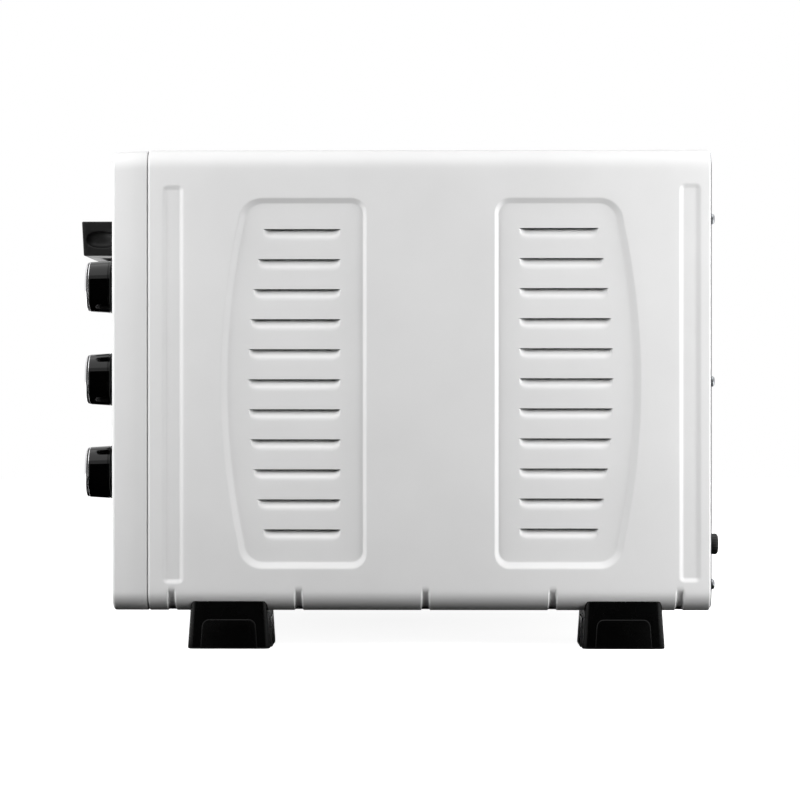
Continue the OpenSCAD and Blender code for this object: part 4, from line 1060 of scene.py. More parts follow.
@dataclass
class FrontFrame:
    """The deep-drawn frame in front of the cover, with the oven's mouth in it."""

    at: Places
    depth: float = 26.1
    wall: float = 2.6
    soft: float = 2.6
    corner: float = 15.0
    lap: float = 6.0
    sheet: float = 1.7
    taper: float = 1.7
    taper_rear: float = 0.5

    def ring(self, inset: float, y: float) -> Loop:
        """Gives the frame's outline at depth y, moved inwards by inset; its roof rises to the rear."""
        w, h = 2 * self.at.half_w - 2 * inset, self.at.z_high - self.at.z_low - 2 * inset
        share = min(1.0, (y - self.at.y_front) / self.depth)
        drop = self.taper + (self.taper_rear - self.taper) * share
        level = self.at.z_mid
        outline = rounded_rect(w, h, max(1.0, self.corner - inset), 0, level, 10)
        return upright([(x, z - drop * max(0.0, z - level) / (h / 2)) for x, z in outline], y)

    def build(self) -> None:
        """Builds the frame as one skin, from the mouth round its outside to its back."""
        y0 = self.at.y_front
        lo, hi = corners("cavity_wrap")
        mouth_x, mouth_w = (lo.x + hi.x) / 2, hi.x - lo.x - 18
        z0 = corners("cavity_floor")[1].z
        mouth_h = hi.z - 9 - z0
        mouth_z = z0 + mouth_h / 2

        def mouth(grow: float, y: float) -> Loop:
            w, h = mouth_w + 2 * grow, mouth_h + 2 * grow
            return upright(rounded_rect(w, h, 4 + grow, mouth_x, mouth_z, 10), y)

        loops = [mouth(0, y0 + self.wall), mouth(0, y0 + 0.5), mouth(0.15, y0 + 0.15), mouth(0.5, y0)]
        for i in range(9):
            a = math.pi / 2 * i / 8
            loops.append(self.ring(self.soft * (1 - math.sin(a)), y0 + self.soft * (1 - math.cos(a))))
        back = y0 + self.depth
        end = back + 0.5 + self.lap
        steps = [(0, y0 + 12), (0, back - 0.3), (0.08, back - 0.08), (0.3, back), (self.sheet, back)]
        steps += [(self.sheet, end), (self.wall, end), (self.wall, y0 + self.wall)]
        loops += [self.ring(inset, y) for inset, y in steps]
        skin = Sheet()
        rows = skin.loft(loops)
        skin.bridge(rows[-1], rows[0])
        piece = skin.build("oven_front_frame", Finishes.CASE_WHITE.material())
        fit(piece, "case", ["front_frame"])


@dataclass
class Fascia:
    """The control panel: its sheet, dial marks, bezels and pilot lamp."""

    dresser: Dresser
    names: tuple[str, ...] = ("temperature", "mode", "timer")
    tick_r: float = 24.2
    number_r: float = 31.0

    def build(self) -> None:
        """Builds the pieces of the panel."""
        self.dresser.dress(["control_fascia"], Finishes.FASCIA_WHITE, 0.35)
        self.face = corners("control_fascia")[0].y
        scales = {
            "temperature": (270, 10, {0: "0", 2: "50", 4: "100", 6: "150", 8: "200", 10: "250"}),
            "mode": (240, 4, {0: "0", 1: "1", 2: "2", 3: "3", 4: "4"}),
            "timer": (300, 12, {0: "0", 2: "10", 4: "20", 6: "30", 8: "40", 10: "50", 12: "60"}),
        }
        marks = Sheet()
        for name in self.names:
            centre = middle(f"{name}_shaft")
            span, parts, words = scales[name]
            for i in range(parts + 1):
                turn = span * i / parts
                self.tick(marks, centre, turn, long=i in words)
                if i in words:
                    self.number(marks, centre, turn, words[i])
        piece = marks.build("dial_marks", Finishes.GREY_INK.material(), outward=False)
        fit(piece, "case")
        self.bezels()
        self.lamp()

    def point(self, centre: Vector, turn: float, r: float, side: float = 0.0) -> Vector:
        """Gives a point of a dial; turn is clockwise from straight up, seen from the front."""
        a = math.radians(turn)
        out = Vector((math.sin(a), 0, math.cos(a)))
        return Vector((centre.x, self.face - 0.03, centre.z)) + out * r + Vector((out.z, 0, -out.x)) * side

    def tick(self, marks: Sheet, centre: Vector, turn: float, long: bool) -> None:
        """Adds one tick of a dial."""
        inner, outer, half = self.tick_r, self.tick_r + (2.8 if long else 1.6), 0.3 if long else 0.2
        spots = ((inner, -half), (inner, half), (outer, half), (outer, -half))
        marks.faces.append(tuple(marks.loop([self.point(centre, turn, r, s) for r, s in spots])))

    def number(self, marks: Sheet, centre: Vector, turn: float, words: str) -> None:
        """Adds one generic number of a dial."""
        curve = bpy.data.curves.new("dial_number", "FONT")
        curve.body, curve.size = words, 4.6
        curve.align_x, curve.align_y = "CENTER", "CENTER"
        curve.resolution_u = 3
        text = bpy.data.objects.new("dial_number", curve)
        bpy.context.scene.collection.objects.link(text)
        bpy.context.view_layer.update()
        flat = bpy.data.meshes.new_from_object(text.evaluated_get(bpy.context.evaluated_depsgraph_get()))
        at = self.point(centre, turn, self.number_r)
        start = len(marks.points)
        marks.points += [Vector((at.x + v.co.x, at.y, at.z + v.co.y)) for v in flat.vertices]
        marks.faces += [tuple(start + i for i in p.vertices) for p in flat.polygons]
        bpy.data.objects.remove(text)
        bpy.data.meshes.remove(flat)
        bpy.data.curves.remove(curve)

    def bezels(self) -> None:
        """Turns the three fixed bezels behind the knobs."""
        lo, hi = corners("knob_bezels")
        r = (hi.x - lo.x) / 2
        skin = Sheet()
        for name in self.names:
            c = middle(f"{name}_shaft")
            profile = [(4.0, lo.y), (r - 2.2, lo.y), (r - 2.0, lo.y + 0.25), (r - 1.2, lo.y + 0.25)]
            profile += [(r - 1.0, lo.y), (r - 0.4, lo.y), (r - 0.1, lo.y + 0.15), (r, lo.y + 0.5)]
            profile += [(r, hi.y), (4.0, hi.y), (4.0, lo.y)]
            skin.lathe(profile, lambda a, b, h, c=c: Vector((c.x + a, h, c.z + b)))
        piece = skin.build("knob_bezel_rings", Finishes.BLACK_GLOSS.material())
        fit(piece, "case", ["knob_bezels"])

    def lamp(self) -> None:
        """Turns the domed lens of the pilot lamp."""
        lo, hi = corners("pilot_lamp_lens")
        c, r, face = middle("pilot_lamp_lens"), (hi.x - lo.x) / 2, self.face
        profile = [(0.0, lo.y), (r * 0.3, lo.y + 0.06), (r * 0.55, lo.y + 0.3), (r * 0.74, lo.y + 0.8)]
        profile += [(r * 0.8, face - 0.9), (r * 0.84, face - 0.8), (r * 0.97, face - 0.7), (r, face - 0.45)]
        profile += [(r, face), (3.3, face), (3.3, hi.y), (0.0, hi.y)]
        skin = Sheet()
        skin.lathe(profile, lambda a, b, h: Vector((c.x + a, h, c.z + b)), 48)
        fit(skin.build("pilot_lens", Finishes.LENS.material()), "case", ["pilot_lamp_lens"])


@dataclass
class Knob:
    """One control knob: a polished black barrel, a bright ring and a pointer line."""

    name: str
    reach: float = 1.0

    def build(self) -> None:
        """Turns the barrel and the ring, and prints the pointer."""
        c = middle(f"{self.name}_shaft")
        lo, hi = corners(f"{self.name}_knob")
        ring_lo, ring_hi = corners(f"{self.name}_knob_ring")
        r, front, rear = (hi.x - lo.x) / 2, lo.y - self.reach, hi.y
        ring_r = (ring_hi.x - ring_lo.x) / 2
        seat, tip = ring_hi.y - self.reach, ring_lo.y - self.reach

        def place(a: float, b: float, h: float) -> Vector:
            return Vector((c.x + a, h, c.z + b))

        body = Sheet()
        profile = [(0.0, front + 0.35), (ring_r * 0.55, front + 0.28), (ring_r - 3.6, front + 0.05)]
        profile += [(ring_r - 2.4, front), (ring_r - 2.4, seat - 1.8), (ring_r - 0.45, seat - 1.75)]
        profile += [(ring_r - 0.35, seat - 1.6), (ring_r - 0.35, seat), (ring_r - 0.2, seat)]
        profile += [(ring_r - 0.05, seat + 0.08), (ring_r + 0.02, seat + 0.3), (ring_r + 0.05, seat + 0.8)]
        profile += [(r - 0.13, rear - 2.6), (r - 0.12, rear - 2.2), (r - 0.55, rear - 1.9)]
        profile += [(r - 0.55, rear - 1.5), (r - 0.05, rear - 1.2), (r, rear - 0.5)]
        profile += [(r - 0.15, rear - 0.15), (r - 0.5, rear), (3.0, rear), (3.0, front + 6), (0.0, front + 6)]
        body.lathe(profile, place, 128)
        self.add(body, "barrel", Finishes.BLACK_GLOSS, 40, "gloss_black", [f"{self.name}_knob"])

        ring = Sheet()
        depth = seat - tip
        lip = [(ring_r - 0.6, seat), (ring_r - 0.12, seat), (ring_r - 0.04, seat - 0.08)]
        lip += [(ring_r - 0.02, seat - 0.25), (ring_r - 0.06, seat - 0.46), (ring_r - 0.2, seat - 0.58)]
        lip += [(ring_r - 0.6, seat - 0.6), (ring_r - 0.6, seat)]
        ring.lathe(lip, place, 128)
        bulge = [(ring_r - 2.39, seat - 1.65), (ring_r - 0.5, seat - 1.65)]
        for i in range(11):
            a = math.radians(8 + 7.4 * i)
            bulge.append((ring_r - 0.4 - 1.5 * (1 - math.cos(a)), seat - 1.7 - (depth - 1.7) * math.sin(a)))
        bulge += [(ring_r - 2.0, tip + 0.05), (ring_r - 2.39, tip + 0.5), (ring_r - 2.39, seat - 1.65)]
        ring.lathe(bulge, place, 128)
        self.add(ring, "trim", Finishes.CHROME_RING, 30, "chrome_trim", [f"{self.name}_knob_ring"])

        line = Sheet()
        outline = rounded_rect(1.5, 9.0, 0.7, c.x, c.z + ring_r * 0.58, 4)
        top, low = upright(outline, front - 0.04), upright(outline, front + 0.3)
        line.loft([low, top], cap_last=True)
        self.add(line, "pointer", Finishes.WHITE_INK, 34, "gloss_black")

    def add(
        self, skin: Sheet, part: str, finish: Finishes, crease: float, slot: str, nodes: Sequence[str] = ()
    ) -> None:
        """Builds one piece of the knob and puts it on the knob's body."""
        piece = skin.build(f"{self.name}_knob_{part}", finish.material(), crease)
        fit(piece, f"{self.name}_control", nodes)


# Door --------------------------------------------------------------------------------------------


@dataclass
class Door:
    """The drop-down door: glass, inner panel, seal, hinges and handle."""

    dresser: Dresser
    border: float = 38.0
    soft: float = 1.1

    def build(self) -> None:
        """Builds the door's pieces."""
        self.dresser.dress(["door_glass"], Finishes.TINTED_GLASS, 0.6, 3)
        self.dresser.dress(["door_inner_glass"], Finishes.CLEAR_GLASS, 0.4)
        self.dresser.dress(["door_panel"], Finishes.CASE_WHITE, 0.3)
        self.dresser.dress(["door_seal"], Finishes.SEAL, 0.5, 3)
        self.dresser.dress(["handle_screws", "hinge_pivots", "door_springs"], Finishes.ZINC_SCREW, 0.2)
        self.dresser.dress(["hinge_bracket_left", "hinge_bracket_right"], Finishes.ZINC_SHEET, 0.3)
        self.mask()
        self.handle()

    def mask(self) -> None:
        """Lays the black printed border on the back of the glass."""
        lo, hi = corners("door_glass")
        c, w, h = (lo + hi) / 2, hi.x - lo.x, hi.z - lo.z
        inner = rounded_rect(w - 2 * self.border, h - 2 * self.border - 8, 12, c.x, c.z - 6, 10)
        outer = rounded_rect(w - 1.0, h - 1.0, 6, c.x, c.z, 10)
        film = Sheet()
        near, far = hi.y + 0.01, hi.y + 0.1
        rims = ((outer, near), (inner, near), (inner, far), (outer, far))
        rows = film.loft([upright(outline, y) for outline, y in rims])
        film.bridge(rows[-1], rows[0])
        fit(film.build("door_glass_print", Finishes.BLACK_INK.material()), "door")

    def profile(self, rear: float, back: float, inset: float = 0.0) -> Points:
        """Gives the handle's section as (y, z) points.

        Args:
            rear: Depth at which the section ends.
            back: Corner radius at the rear.
            inset: How far the section is moved inwards all round.

        Returns:
            The closed outline.
        """
        lo, hi = self.box
        top, low, front, slant = hi.z - inset, lo.z + inset, lo.y + inset, 1.4
        r = max(0.35, self.soft - inset)
        b = max(0.2, back - inset * 0.5)
        end = rear - inset
        turns = [arc(front + r, top - r, r, 180, 90, 5), arc(end - b, top - b, b, 90, 0, 5)]
        turns += [arc(end - b, low + b, b, 0, -90, 5), arc(front + slant + r, low + r, r, 270, 180, 5)]
        points: Points = []
        for i, turn in enumerate(turns):
            points += turn + between(turn[-1], turns[(i + 1) % 4][0], 12)
        return points

    def handle(self) -> None:
        """Moulds the handle: a square bar on two posts, with an oval hollow in each end."""
        lo, hi = self.box = corners("door_handle")
        mid_x, rear, bar = (lo.x + hi.x) / 2, hi.y, lo.y + 11.0
        half, post = (hi.x - lo.x) / 2, 34.0
        stations: list[tuple[float, Points]] = []
        for i in range(6):
            a = math.pi / 2 * i / 5
            section = self.profile(rear, 0.4, self.soft * (1 - math.cos(a)))
            stations.append((half - self.soft * (1 - math.sin(a)), section))
        stations.reverse()
        stations.append((half - post + 4, self.profile(rear, 0.4)))
        first = 0.28
        for i in range(9):
            a = math.pi / 2 * i / 8
            section = self.profile(rear - (rear - bar) * (1 - math.cos(a)) * first, 0.6)
            stations.append((half - post + 4 - 5 * math.sin(a), section))
        for i in range(1, 9):
            share = first + (1 - first) * smooth(i / 8)
            section = self.profile(rear - (rear - bar) * share, 0.8)
            stations.append((half - post - 1 - 2.5 * (i / 8) ** 2, section))
        stations = [(half - d, ring) for d, ring in reversed(self.dish(stations[0][1]))] + stations
        right = [[Vector((mid_x + x, y, z)) for y, z in points] for x, points in stations]
        left = [[Vector((mid_x - x, y, z)) for y, z in points] for x, points in reversed(stations)]
        skin = Sheet()
        skin.loft(right + left, cap_first=True, cap_last=True)
        piece = skin.build("door_handle_bar", Finishes.BLACK_GRAIN.material(), 50)
        fit(piece, "door", ["door_handle"])

    def dish(self, rim: Sequence[tuple[float, float]]) -> list[tuple[float, Points]]:
        """Gives the rings of the oval hollow in an end face as (depth, ring)."""
        lo, hi = self.box
        cy, cz = lo.y + 16.5, (lo.z + hi.z) / 2 - 0.8
        rings: list[tuple[float, Points]] = []
        middle_y, oval = (lo.y + hi.y) / 2, 2.3
        steps = [(1.06, 0.0), (1.0, 0.2), (0.95, 0.9), (0.88, 1.9), (0.76, 3.0), (0.6, 3.9), (0.4, 4.4)]
        for share, depth in steps + [(0.2, 4.6)]:
            ring = []
            for y, z in rim:
                a = math.atan2((z - cz) / (hi.z - lo.z), (y - middle_y) / (hi.y - lo.y))
                ca, sa = math.cos(a), math.sin(a)
                k = share / (abs(ca) ** oval + abs(sa) ** oval) ** (1 / oval)
                ring.append((cy + 12.9 * k * ca, cz + 7.1 * k * sa))
            rings.append((depth, ring))
        return rings


# Feet, rear and inside ---------------------------------------------------------------------------


@dataclass
class Foot:
    """A moulded foot: a tapering block with an arched panel standing proud on each face."""

    node: str
    at: Places
    draft: float = 2.4
    draft_side: float = 0.9
    proud: float = 0.75
    panel_w: float = 43.0
    panel_h: float = 22.4
    panel_r: float = 5.5
    fillet: float = 0.85
    corner: float = 4.2
    rim: float = 0.9
    rim_top: float = 0.4
    lean: float = 1.1
    bend: float = 15.0
    low: float = 0.1
    high: float = 36.0

    def build(self) -> None:
        """Moulds the foot round the case's lower bend."""
        lo, hi = corners(self.node)
        cx, cy = (lo.x + hi.x) / 2, (lo.y + hi.y) / 2
        half_l, half_w = (hi.x - lo.x) / 2 - self.proud, (hi.y - lo.y) / 2 - self.proud
        base = rounded_rect(2 * half_l, 2 * half_w, self.corner, 0, 0, 10, 6)
        heights = [0, 0.006, 0.02, 0.04] + [0.04 + 0.92 * i / 8 for i in range(1, 9)] + [0.985, 0.993, 1.0]
        loops = []
        for t in heights:
            ring = []
            for x, y in base:
                top = self.top(cx + x)
                z = self.low + (top - self.low) * t
                share = z / self.high
                near_low = 1 - min(1.0, (z - self.low) / self.rim)
                near_top = max(0.0, 1 - (top - z) / self.rim_top)
                edge = self.rim * (1 - math.sqrt(max(0.0, 1 - near_low**2)))
                edge += self.rim_top * (1 - math.sqrt(max(0.0, 1 - near_top**2)))
                scale_x = 1 - (self.draft_side * share + edge) / half_l
                scale_y = 1 - (self.draft * share + edge) / half_w
                ring.append(Vector((cx + x * scale_x, cy + y * scale_y, z)))
            loops.append(ring)
        skin = Sheet()
        rows = skin.loft(loops)
        self.close(skin, rows[0], Vector((cx, cy, 0)), flat=True)
        self.close(skin, rows[-1], Vector((cx, cy, 0)), flat=False)
        for sign in (-1, 1):

            def across(u: float, z: float, out: float, sign: int = sign) -> Vector:
                return Vector((cx + sign * (half_l - self.draft_side * z / self.high + out), cy + u, z))

            def along(u: float, z: float, out: float, sign: int = sign) -> Vector:
                return Vector((cx + u, cy + sign * (half_w - self.draft * z / self.high + out), z))

            self.panel(skin, across)
            self.panel(skin, along)
        piece = skin.build(f"{self.node}_moulding", Finishes.FOOT_BLACK.material(), 50)
        fit(piece, "case", [self.node])

    def panel(self, skin: Sheet, place: Place) -> None:
        """Adds the arched panel of one face.

        Args:
            skin: The foot's mesh.
            place: Turns (sideways, height, outwards) into a point of that face.
        """
        loops = []
        for step in range(-1, 6):
            a = math.pi / 2 * max(0, step) / 5
            inset, out = self.fillet * (1 - math.cos(a)), self.proud - self.fillet * (1 - math.sin(a))
            if step < 0:
                inset, out = 0.0, -0.3
            half, top, r = self.panel_w / 2 - inset, self.panel_h - inset, self.panel_r - inset
            rise, x = top - r - self.low, half - self.lean - r
            points = [(half - self.lean * i / 4, self.low + 0.3 + rise * i / 4) for i in range(4)]
            points += arc(x, top - r, r, 0, 90, 8) + arc(-x, top - r, r, 90, 180, 8)
            points += [(-x, z) for x, z in reversed(points[:4])]
            loops.append([place(u, z, out) for u, z in points])
        skin.loft(loops, cap_last=True)

    def top(self, x: float) -> float:
        """Gives how high the foot reaches at x under the case's bend."""
        over = max(0.0, abs(x) - (self.at.half_w - self.bend))
        under = self.at.z_low + self.bend - math.sqrt(max(0.0, self.bend**2 - over**2))
        return min(self.high, under - 0.15)

    def close(self, skin: Sheet, row: Sequence[int], centre: Vector, flat: bool) -> None:
        """Closes an end with shrinking rings that follow the ground or the bend."""
        edge = [skin.points[i] for i in row]
        last = list(row)
        for share in (0.93, 0.8, 0.6, 0.35, 0.1):
            ring = []
            for p in edge:
                x, y = centre.x + (p.x - centre.x) * share, centre.y + (p.y - centre.y) * share
                ring.append(Vector((x, y, self.low if flat else self.top(x))))
            numbers = skin.loop(ring)
            skin.bridge(last, numbers)
            last = numbers
        skin.faces.append(tuple(last))


@dataclass
class RearFittings:
    """What stands on the back: the panel, its screws and the cord's bush."""

    dresser: Dresser

    def build(self) -> None:
        """Builds the rear pieces."""
        self.dresser.dress(["rear_panel", "base_pan"], Finishes.ZINC_SHEET, 0.0, flat=True)
        self.dresser.dress(["foot_screws"], Finishes.ZINC_SCREW, 0.2)
        self.dresser.dress(["foot_pads"], Finishes.PAD_RUBBER, 0.5)
        self.screws()
        self.bush()

    def screws(self) -> None:
        """Turns the pan-head screws and sinks a cross into each head."""
        node = self.dresser.nodes["rear_screws"]
        lo, hi = corners("rear_screws")
        face = corners("rear_panel")[1].y
        places = self.heads(node, face)
        skin = Sheet()
        for x, z in places:
            self.head(skin, x, z, face, hi.y)
        piece = skin.build("rear_screw_set", Finishes.ZINC_SCREW.material(), 40)
        fit(piece, "case", ["rear_screws"])
        LOG.info("%d rear screws from depth %.1f", len(places), lo.y)

    def heads(self, node: Piece, face: float) -> Points:
        """Finds the middle of each screw head from the CAD node's own points."""
        groups: dict[tuple[int, int], list[Vector]] = {}
        for v in node.data.vertices:
            p = v.co / MM
            if p.y > face + 0.5:
                near = (k for k in groups if math.hypot(k[0] - p.x, k[1] - p.z) < 9)
                groups.setdefault(next(near, (round(p.x), round(p.z))), []).append(p)
        return [
            ((min(p.x for p in g) + max(p.x for p in g)) / 2, (min(p.z for p in g) + max(p.z for p in g)) / 2)
            for g in groups.values()
        ]

    def head(self, skin: Sheet, x: float, z: float, face: float, tip: float) -> None:
        """Adds one screw: its shank and a domed head with a cross."""
        r, h, turns = 4.0, tip - face, 64
        profile = [(0.0, face - 7), (1.4, face - 6.6), (2.0, face - 5.6), (2.0, face), (3.9, face)]
        profile += [(r, face + 0.15), (r, face + h * 0.42), (r * 0.96, face + h * 0.62)]
        profile += [(r * 0.85, face + h * 0.8), (r * 0.68, face + h * 0.92)]
        profile += [(r * f, face + h * (1 - 0.1 * f)) for f in (0.6, 0.52, 0.44, 0.36, 0.28, 0.2, 0.12, 0.0)]

        def place(a: float, b: float, y: float) -> Vector:
            arm, reach = min(abs(a), abs(b)), math.hypot(a, b)
            if y > face and reach < 2.3:
                y -= 1.3 * (1 - smooth((arm - 0.3) / 0.35)) * (1 - smooth((reach - 1.9) / 0.4))
            return Vector((x + a, y, z + b))

        skin.lathe(profile, place, turns)

    def bush(self) -> None:
        """Moulds the cord's strain-relief bush: a stepped barrel with grip ribs."""
        c = middle("cord_bush")
        lo, hi = corners("cord_bush")
        face, r, bore = corners("rear_panel")[1].y, (hi.x - lo.x) / 2, 3.6
        out = hi.y - face
        steps = [(0.0, 0.32), (0.25, 0.36), (0.9, 0.37), (0.9, 0.45), (0.35, 0.47), (0.35, 0.82)]
        profile = [(bore, lo.y), (5.8, lo.y), (6.2, lo.y + 0.4), (6.2, face), (r - 0.3, face), (r, face + 0.3)]
        profile += [(r - inset, face + out * share) for inset, share in steps + [(0.9, 0.95)]]
        profile += [(r - 1.8, hi.y), (bore + 0.6, hi.y), (bore + 0.15, hi.y - 0.2)]
        profile += [(bore, hi.y - 0.6), (bore, lo.y)]

        def place(a: float, b: float, y: float) -> Vector:
            grip = face + out * 0.5 < y < face + out * 0.9 and math.hypot(a, b) > bore + 1.5
            k = 1 + (0.03 * math.cos(math.atan2(b, a) * 24) if grip else 0.0)
            return Vector((c.x + a * k, y, c.z + b * k))

        skin = Sheet()
        skin.lathe(profile, place, 144)
        piece = skin.build("cord_bush_moulding", Finishes.BUSH_NYLON.material(), 45)
        fit(piece, "case", ["cord_bush"])


@dataclass
class Inside:
    """The cavity and everything behind it."""

    dresser: Dresser

    def build(self) -> None:
        """Dresses the inner parts."""
        dress = self.dresser.dress
        cavity = ["cavity_wrap", "cavity_floor", "cavity_back", "rack_rail_left", "rack_rail_right"]
        dress(cavity, Finishes.CAVITY_STEEL, 0.25)
        dress(["fan_baffle", "convection_fan"], Finishes.CAVITY_STEEL, 0.2)
        dress(["wire_rack", "sensor_bulb"], Finishes.CHROME_WIRE, 0.0)
        dress(["board_tray"], Finishes.TRAY, 0.3)
        heaters = [f"heater_{a}_{b}" for a in ("top", "bottom") for b in ("front", "rear")]
        dress(heaters, Finishes.HEATER, 0.2)
        dress(["heater_bushes"], Finishes.PORCELAIN, 0.4)
        dress(["fan_motor"], Finishes.MOTOR_STEEL, 0.5)
        dress(["motor_bracket", "heat_shield", "control_bracket", "timer"], Finishes.ZINC_SHEET, 0.3)
        dress(["fan_shaft", "temperature_shaft", "mode_shaft", "timer_shaft"], Finishes.ZINC_SCREW, 0.3)
        dress(["thermostat", "pilot_lamp_body", "terminal_block"], Finishes.IVORY, 0.4)
        dress(["mode_switch"], Finishes.PHENOLIC, 0.4)
        dress(["wiring_loom"], Finishes.SLEEVE, 0.0)


# Studio ------------------------------------------------------------------------------------------


@dataclass
class Studio:
    """Floor, white surround, lamps and camera, in metres; px sizes are pixels of an 800-pixel frame."""

    distance: float = 2.0
    focal_px: float = 2662.0
    frame_px: float = 800.0
    mm_per_px: float = 450.0 / 599.0
    eye_px: tuple[float, float] = (318.5, 249.4)
    aim_px: float = 288.5
    film_mm: float = 36.0

    def build(self, at: Places) -> None:
        """Sets up the studio.

        Args:
            at: The oven's main planes.
        """
        self.surround()
        self.floor()
        self.lamp("overhead_softbox", (0.3, 0.2, 2.14), (0.3, 0.2, 0.0), 2.6, 3.0, 25.5, True)
        self.lamp("front_softbox", (0.62, -0.98, 0.52), (0.28, -0.2, 0.28), 0.66, 0.6, 13.1)
        self.lamp("rear_softbox", (0.54, 0.8, 0.34), (0.12, -0.16, 0.22), 0.54, 0.8, 9.0)
        self.lamp("high_softbox", (1.8, 1.3, 1.46), (0.3, -0.12, 0.2), 0.74, 0.54, 12.0)
        self.lamp("far_softbox", (-1.5, -0.35, 0.42), (-0.25, 0.0, 0.18), 0.9, 0.7, 11.0)
        self.flag_and_painted_shadow()
        self.camera(at)

    def surround(self) -> None:
        """Lights the surround white where it is seen, and softly where it only adds fill light."""
        world = bpy.data.worlds.new("studio_surround")
        bpy.context.scene.world = world
        world.use_nodes = True
        tree = world.node_tree
        tree.nodes.clear()
        fill = put(tree, "ShaderNodeBackground", {"Color": linear("#f4f4f4"), "Strength": 0.015})
        white = put(tree, "ShaderNodeBackground", {"Color": (1, 1, 1, 1), "Strength": 1.0})
        both = put(tree, MIX, links={0: self.seen(tree), 1: fill.outputs[0], 2: white.outputs[0]})
        put(tree, "ShaderNodeOutputWorld", links={"Surface": both.outputs[0]})

    def seen(self, tree: Tree) -> Socket:
        """Gives 1 for what the camera sees, also by way of gloss or glass, and 0 for other light."""
        path = put(tree, "ShaderNodeLightPath").outputs
        value = path["Is Camera Ray"]
        for kind in ("Is Glossy Ray", "Is Transmission Ray"):
            both = put(tree, MATH, {"operation": "ADD", "use_clamp": True}, {0: value, 1: path[kind]})
            value = both.outputs[0]
        return value

    def floor(self) -> None:
        """Lays the pale floor, which keeps the oven's soft shadow; to bounced light it is painted shade."""
        sheet = Sheet()
        edge = 4000.0
        square = ((-edge, -edge), (edge, -edge), (edge, edge), (-edge, edge))
        sheet.faces.append(tuple(sheet.loop([Vector((x, y, -0.02)) for x, y in square])))
        made = blank("studio_floor")
        tree = made.node_tree
        matt = put(tree, DIFFUSE, {"Color": linear("#e8e8e8")})
        where = put(tree, "ShaderNodeTexCoord").outputs["Object"]
        reach = put(tree, "ShaderNodeVectorMath", {"operation": "LENGTH"}, {0: where}).outputs["Value"]
        # The glow grows with the distance from the oven, so that its soft shadow stays.
        growth = {"operation": "MULTIPLY_ADD", 1: 0.25, 2: 0.9, "use_clamp": True}
        strength = put(tree, MATH, growth, {0: reach}).outputs[0]
        glow = put(tree, "ShaderNodeEmission", {"Color": (1, 1, 1, 1)}, {"Strength": strength})
        pale = put(tree, "ShaderNodeAddShader", links={0: matt.outputs[0], 1: glow.outputs[0]})
        # Painted shade: bounced light finds the floor dark grey, which darkens the oven's underside.
        painted_shade_bounce = put(tree, DIFFUSE, {"Color": linear("#343434")})
        both = put(tree, MIX, links={0: self.seen(tree), 1: painted_shade_bounce.outputs[0], 2: pale.outputs[0]})
        put(tree, "ShaderNodeOutputMaterial", links={"Surface": both.outputs[0]})
        floor = sheet.build("studio_floor", made, outward=False)

    def flag_and_painted_shadow(self) -> None:
        """Hangs a black sheet that only gloss sees: a flag behind the camera and painted shadow on the floor.
        """
        flag_and_shadow_sheet = Sheet()
        # Painted shade: from under the oven out to the camera the sheet lies on the floor, so reflections show
        # the floor dark; under the oven it stands for the floor's shadow. Behind the camera it rises as a
        # black flag.
        path = [(-300.0, 1.0, 330.0), (400.0, 1.0, 380.0), (2500.0, 1.0, 900.0)]
        path += [(2900.0, 400.0, 1000.0), (2900.0, 2300.0, 1300.0)]
        sides = [flag_and_shadow_sheet.loop([Vector((x, side * half, z)) for x, z, half in path]) for side in (-1, 1)]
        flag_and_shadow_sheet.bridge(sides[0], sides[1], closed=False)
        made = blank("studio_black_flag_and_painted_shadow")
        matt = put(made.node_tree, DIFFUSE, {"Color": linear("#050505")})
        put(made.node_tree, "ShaderNodeOutputMaterial", links={"Surface": matt.outputs[0]})
        flag_and_painted_shadow = flag_and_shadow_sheet.build("studio_flag_and_painted_shadow", made, outward=False)
        flag_and_painted_shadow.visible_camera = flag_and_painted_shadow.visible_diffuse = flag_and_painted_shadow.visible_shadow = False

    def lamp(
        self,
        name: str,
        place: Sequence[float],
        aim: Sequence[float],
        w: float,
        h: float,
        watts: float,
        mirrored: bool = False,
    ) -> None:
        """Hangs one softbox.

        Args:
            name: Name of the lamp.
            place: Where it hangs.
            aim: What it points at.
            w: Its width.
            h: Its height.
            watts: Its power.
            mirrored: Whether gloss shows it.
        """
        data = bpy.data.lights.new(name, "AREA")
        data.shape, data.size, data.size_y, data.energy = "RECTANGLE", w, h, watts
        lamp = bpy.data.objects.new(name, data)
        lamp.location = place
        lamp.rotation_mode = "QUATERNION"
        lamp.rotation_quaternion = (Vector(aim) - Vector(place)).to_track_quat("-Z", "Y")
        lamp.visible_glossy = mirrored
        bpy.context.scene.collection.objects.link(lamp)

    def camera(self, at: Places) -> None:
        """Sets the camera square to the oven's right-hand side, a little behind its middle."""
        k, side = self.mm_per_px, at.half_w * MM
        back, up = self.eye_px
        eye = Vector((side + self.distance, (at.y_front + back * k) * MM, up * k * MM))
        aim = Vector((side, (at.y_front + self.aim_px * k) * MM, eye.z))
        data = bpy.data.cameras.new("side_camera")
        data.sensor_width, data.lens = self.film_mm, self.focal_px * self.film_mm / self.frame_px
        data.clip_start, data.clip_end = 0.05, 50.0
        camera = bpy.data.objects.new("side_camera", data)
        camera.location = eye
        camera.rotation_mode = "QUATERNION"
        camera.rotation_quaternion = (aim - eye).to_track_quat("-Z", "Y")
        bpy.context.scene.collection.objects.link(camera)
        bpy.context.scene.camera = camera


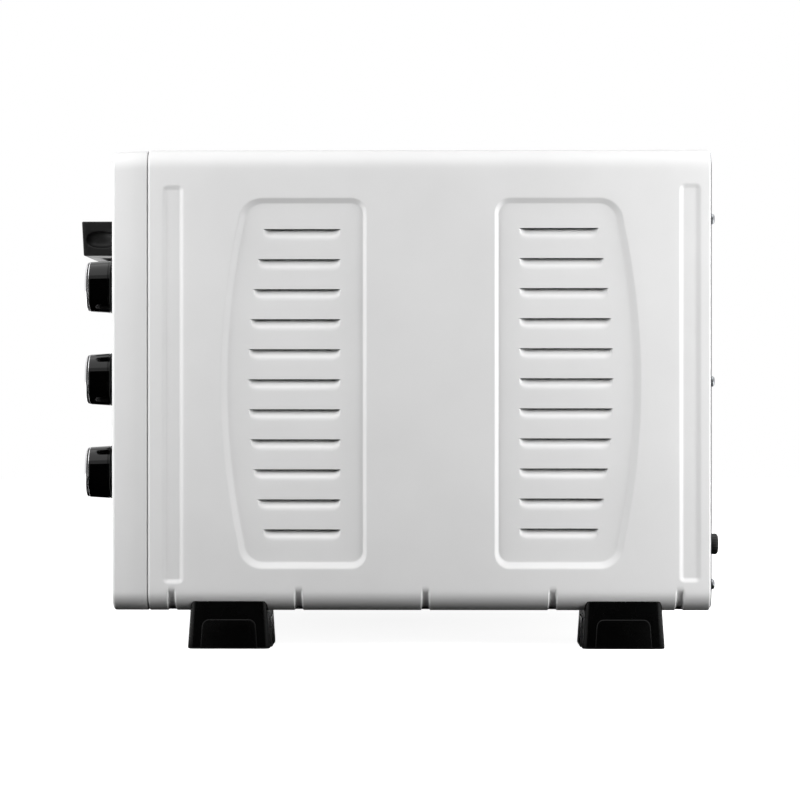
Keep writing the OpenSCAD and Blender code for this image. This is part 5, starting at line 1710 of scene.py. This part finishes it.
def main() -> None:
    """Builds the oven's looks round its frame."""
    logging.basicConfig(level=logging.INFO, format="%(name)s: %(message)s")
    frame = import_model()
    bpy.context.scene.view_settings.view_transform = "Standard"
    at = Places.read()
    dresser = Dresser(frame["nodes"])
    Cover(at).build()
    FrontFrame(at).build()
    Fascia(dresser).build()
    for name in ("temperature", "mode", "timer"):
        Knob(name).build()
    Door(dresser).build()
    for node in ("foot_front_left", "foot_front_right", "foot_rear_left", "foot_rear_right"):
        Foot(node, at).build()
    RearFittings(dresser).build()
    Inside(dresser).build()
    Studio().build(at)


if __name__ == "__main__":
    main()
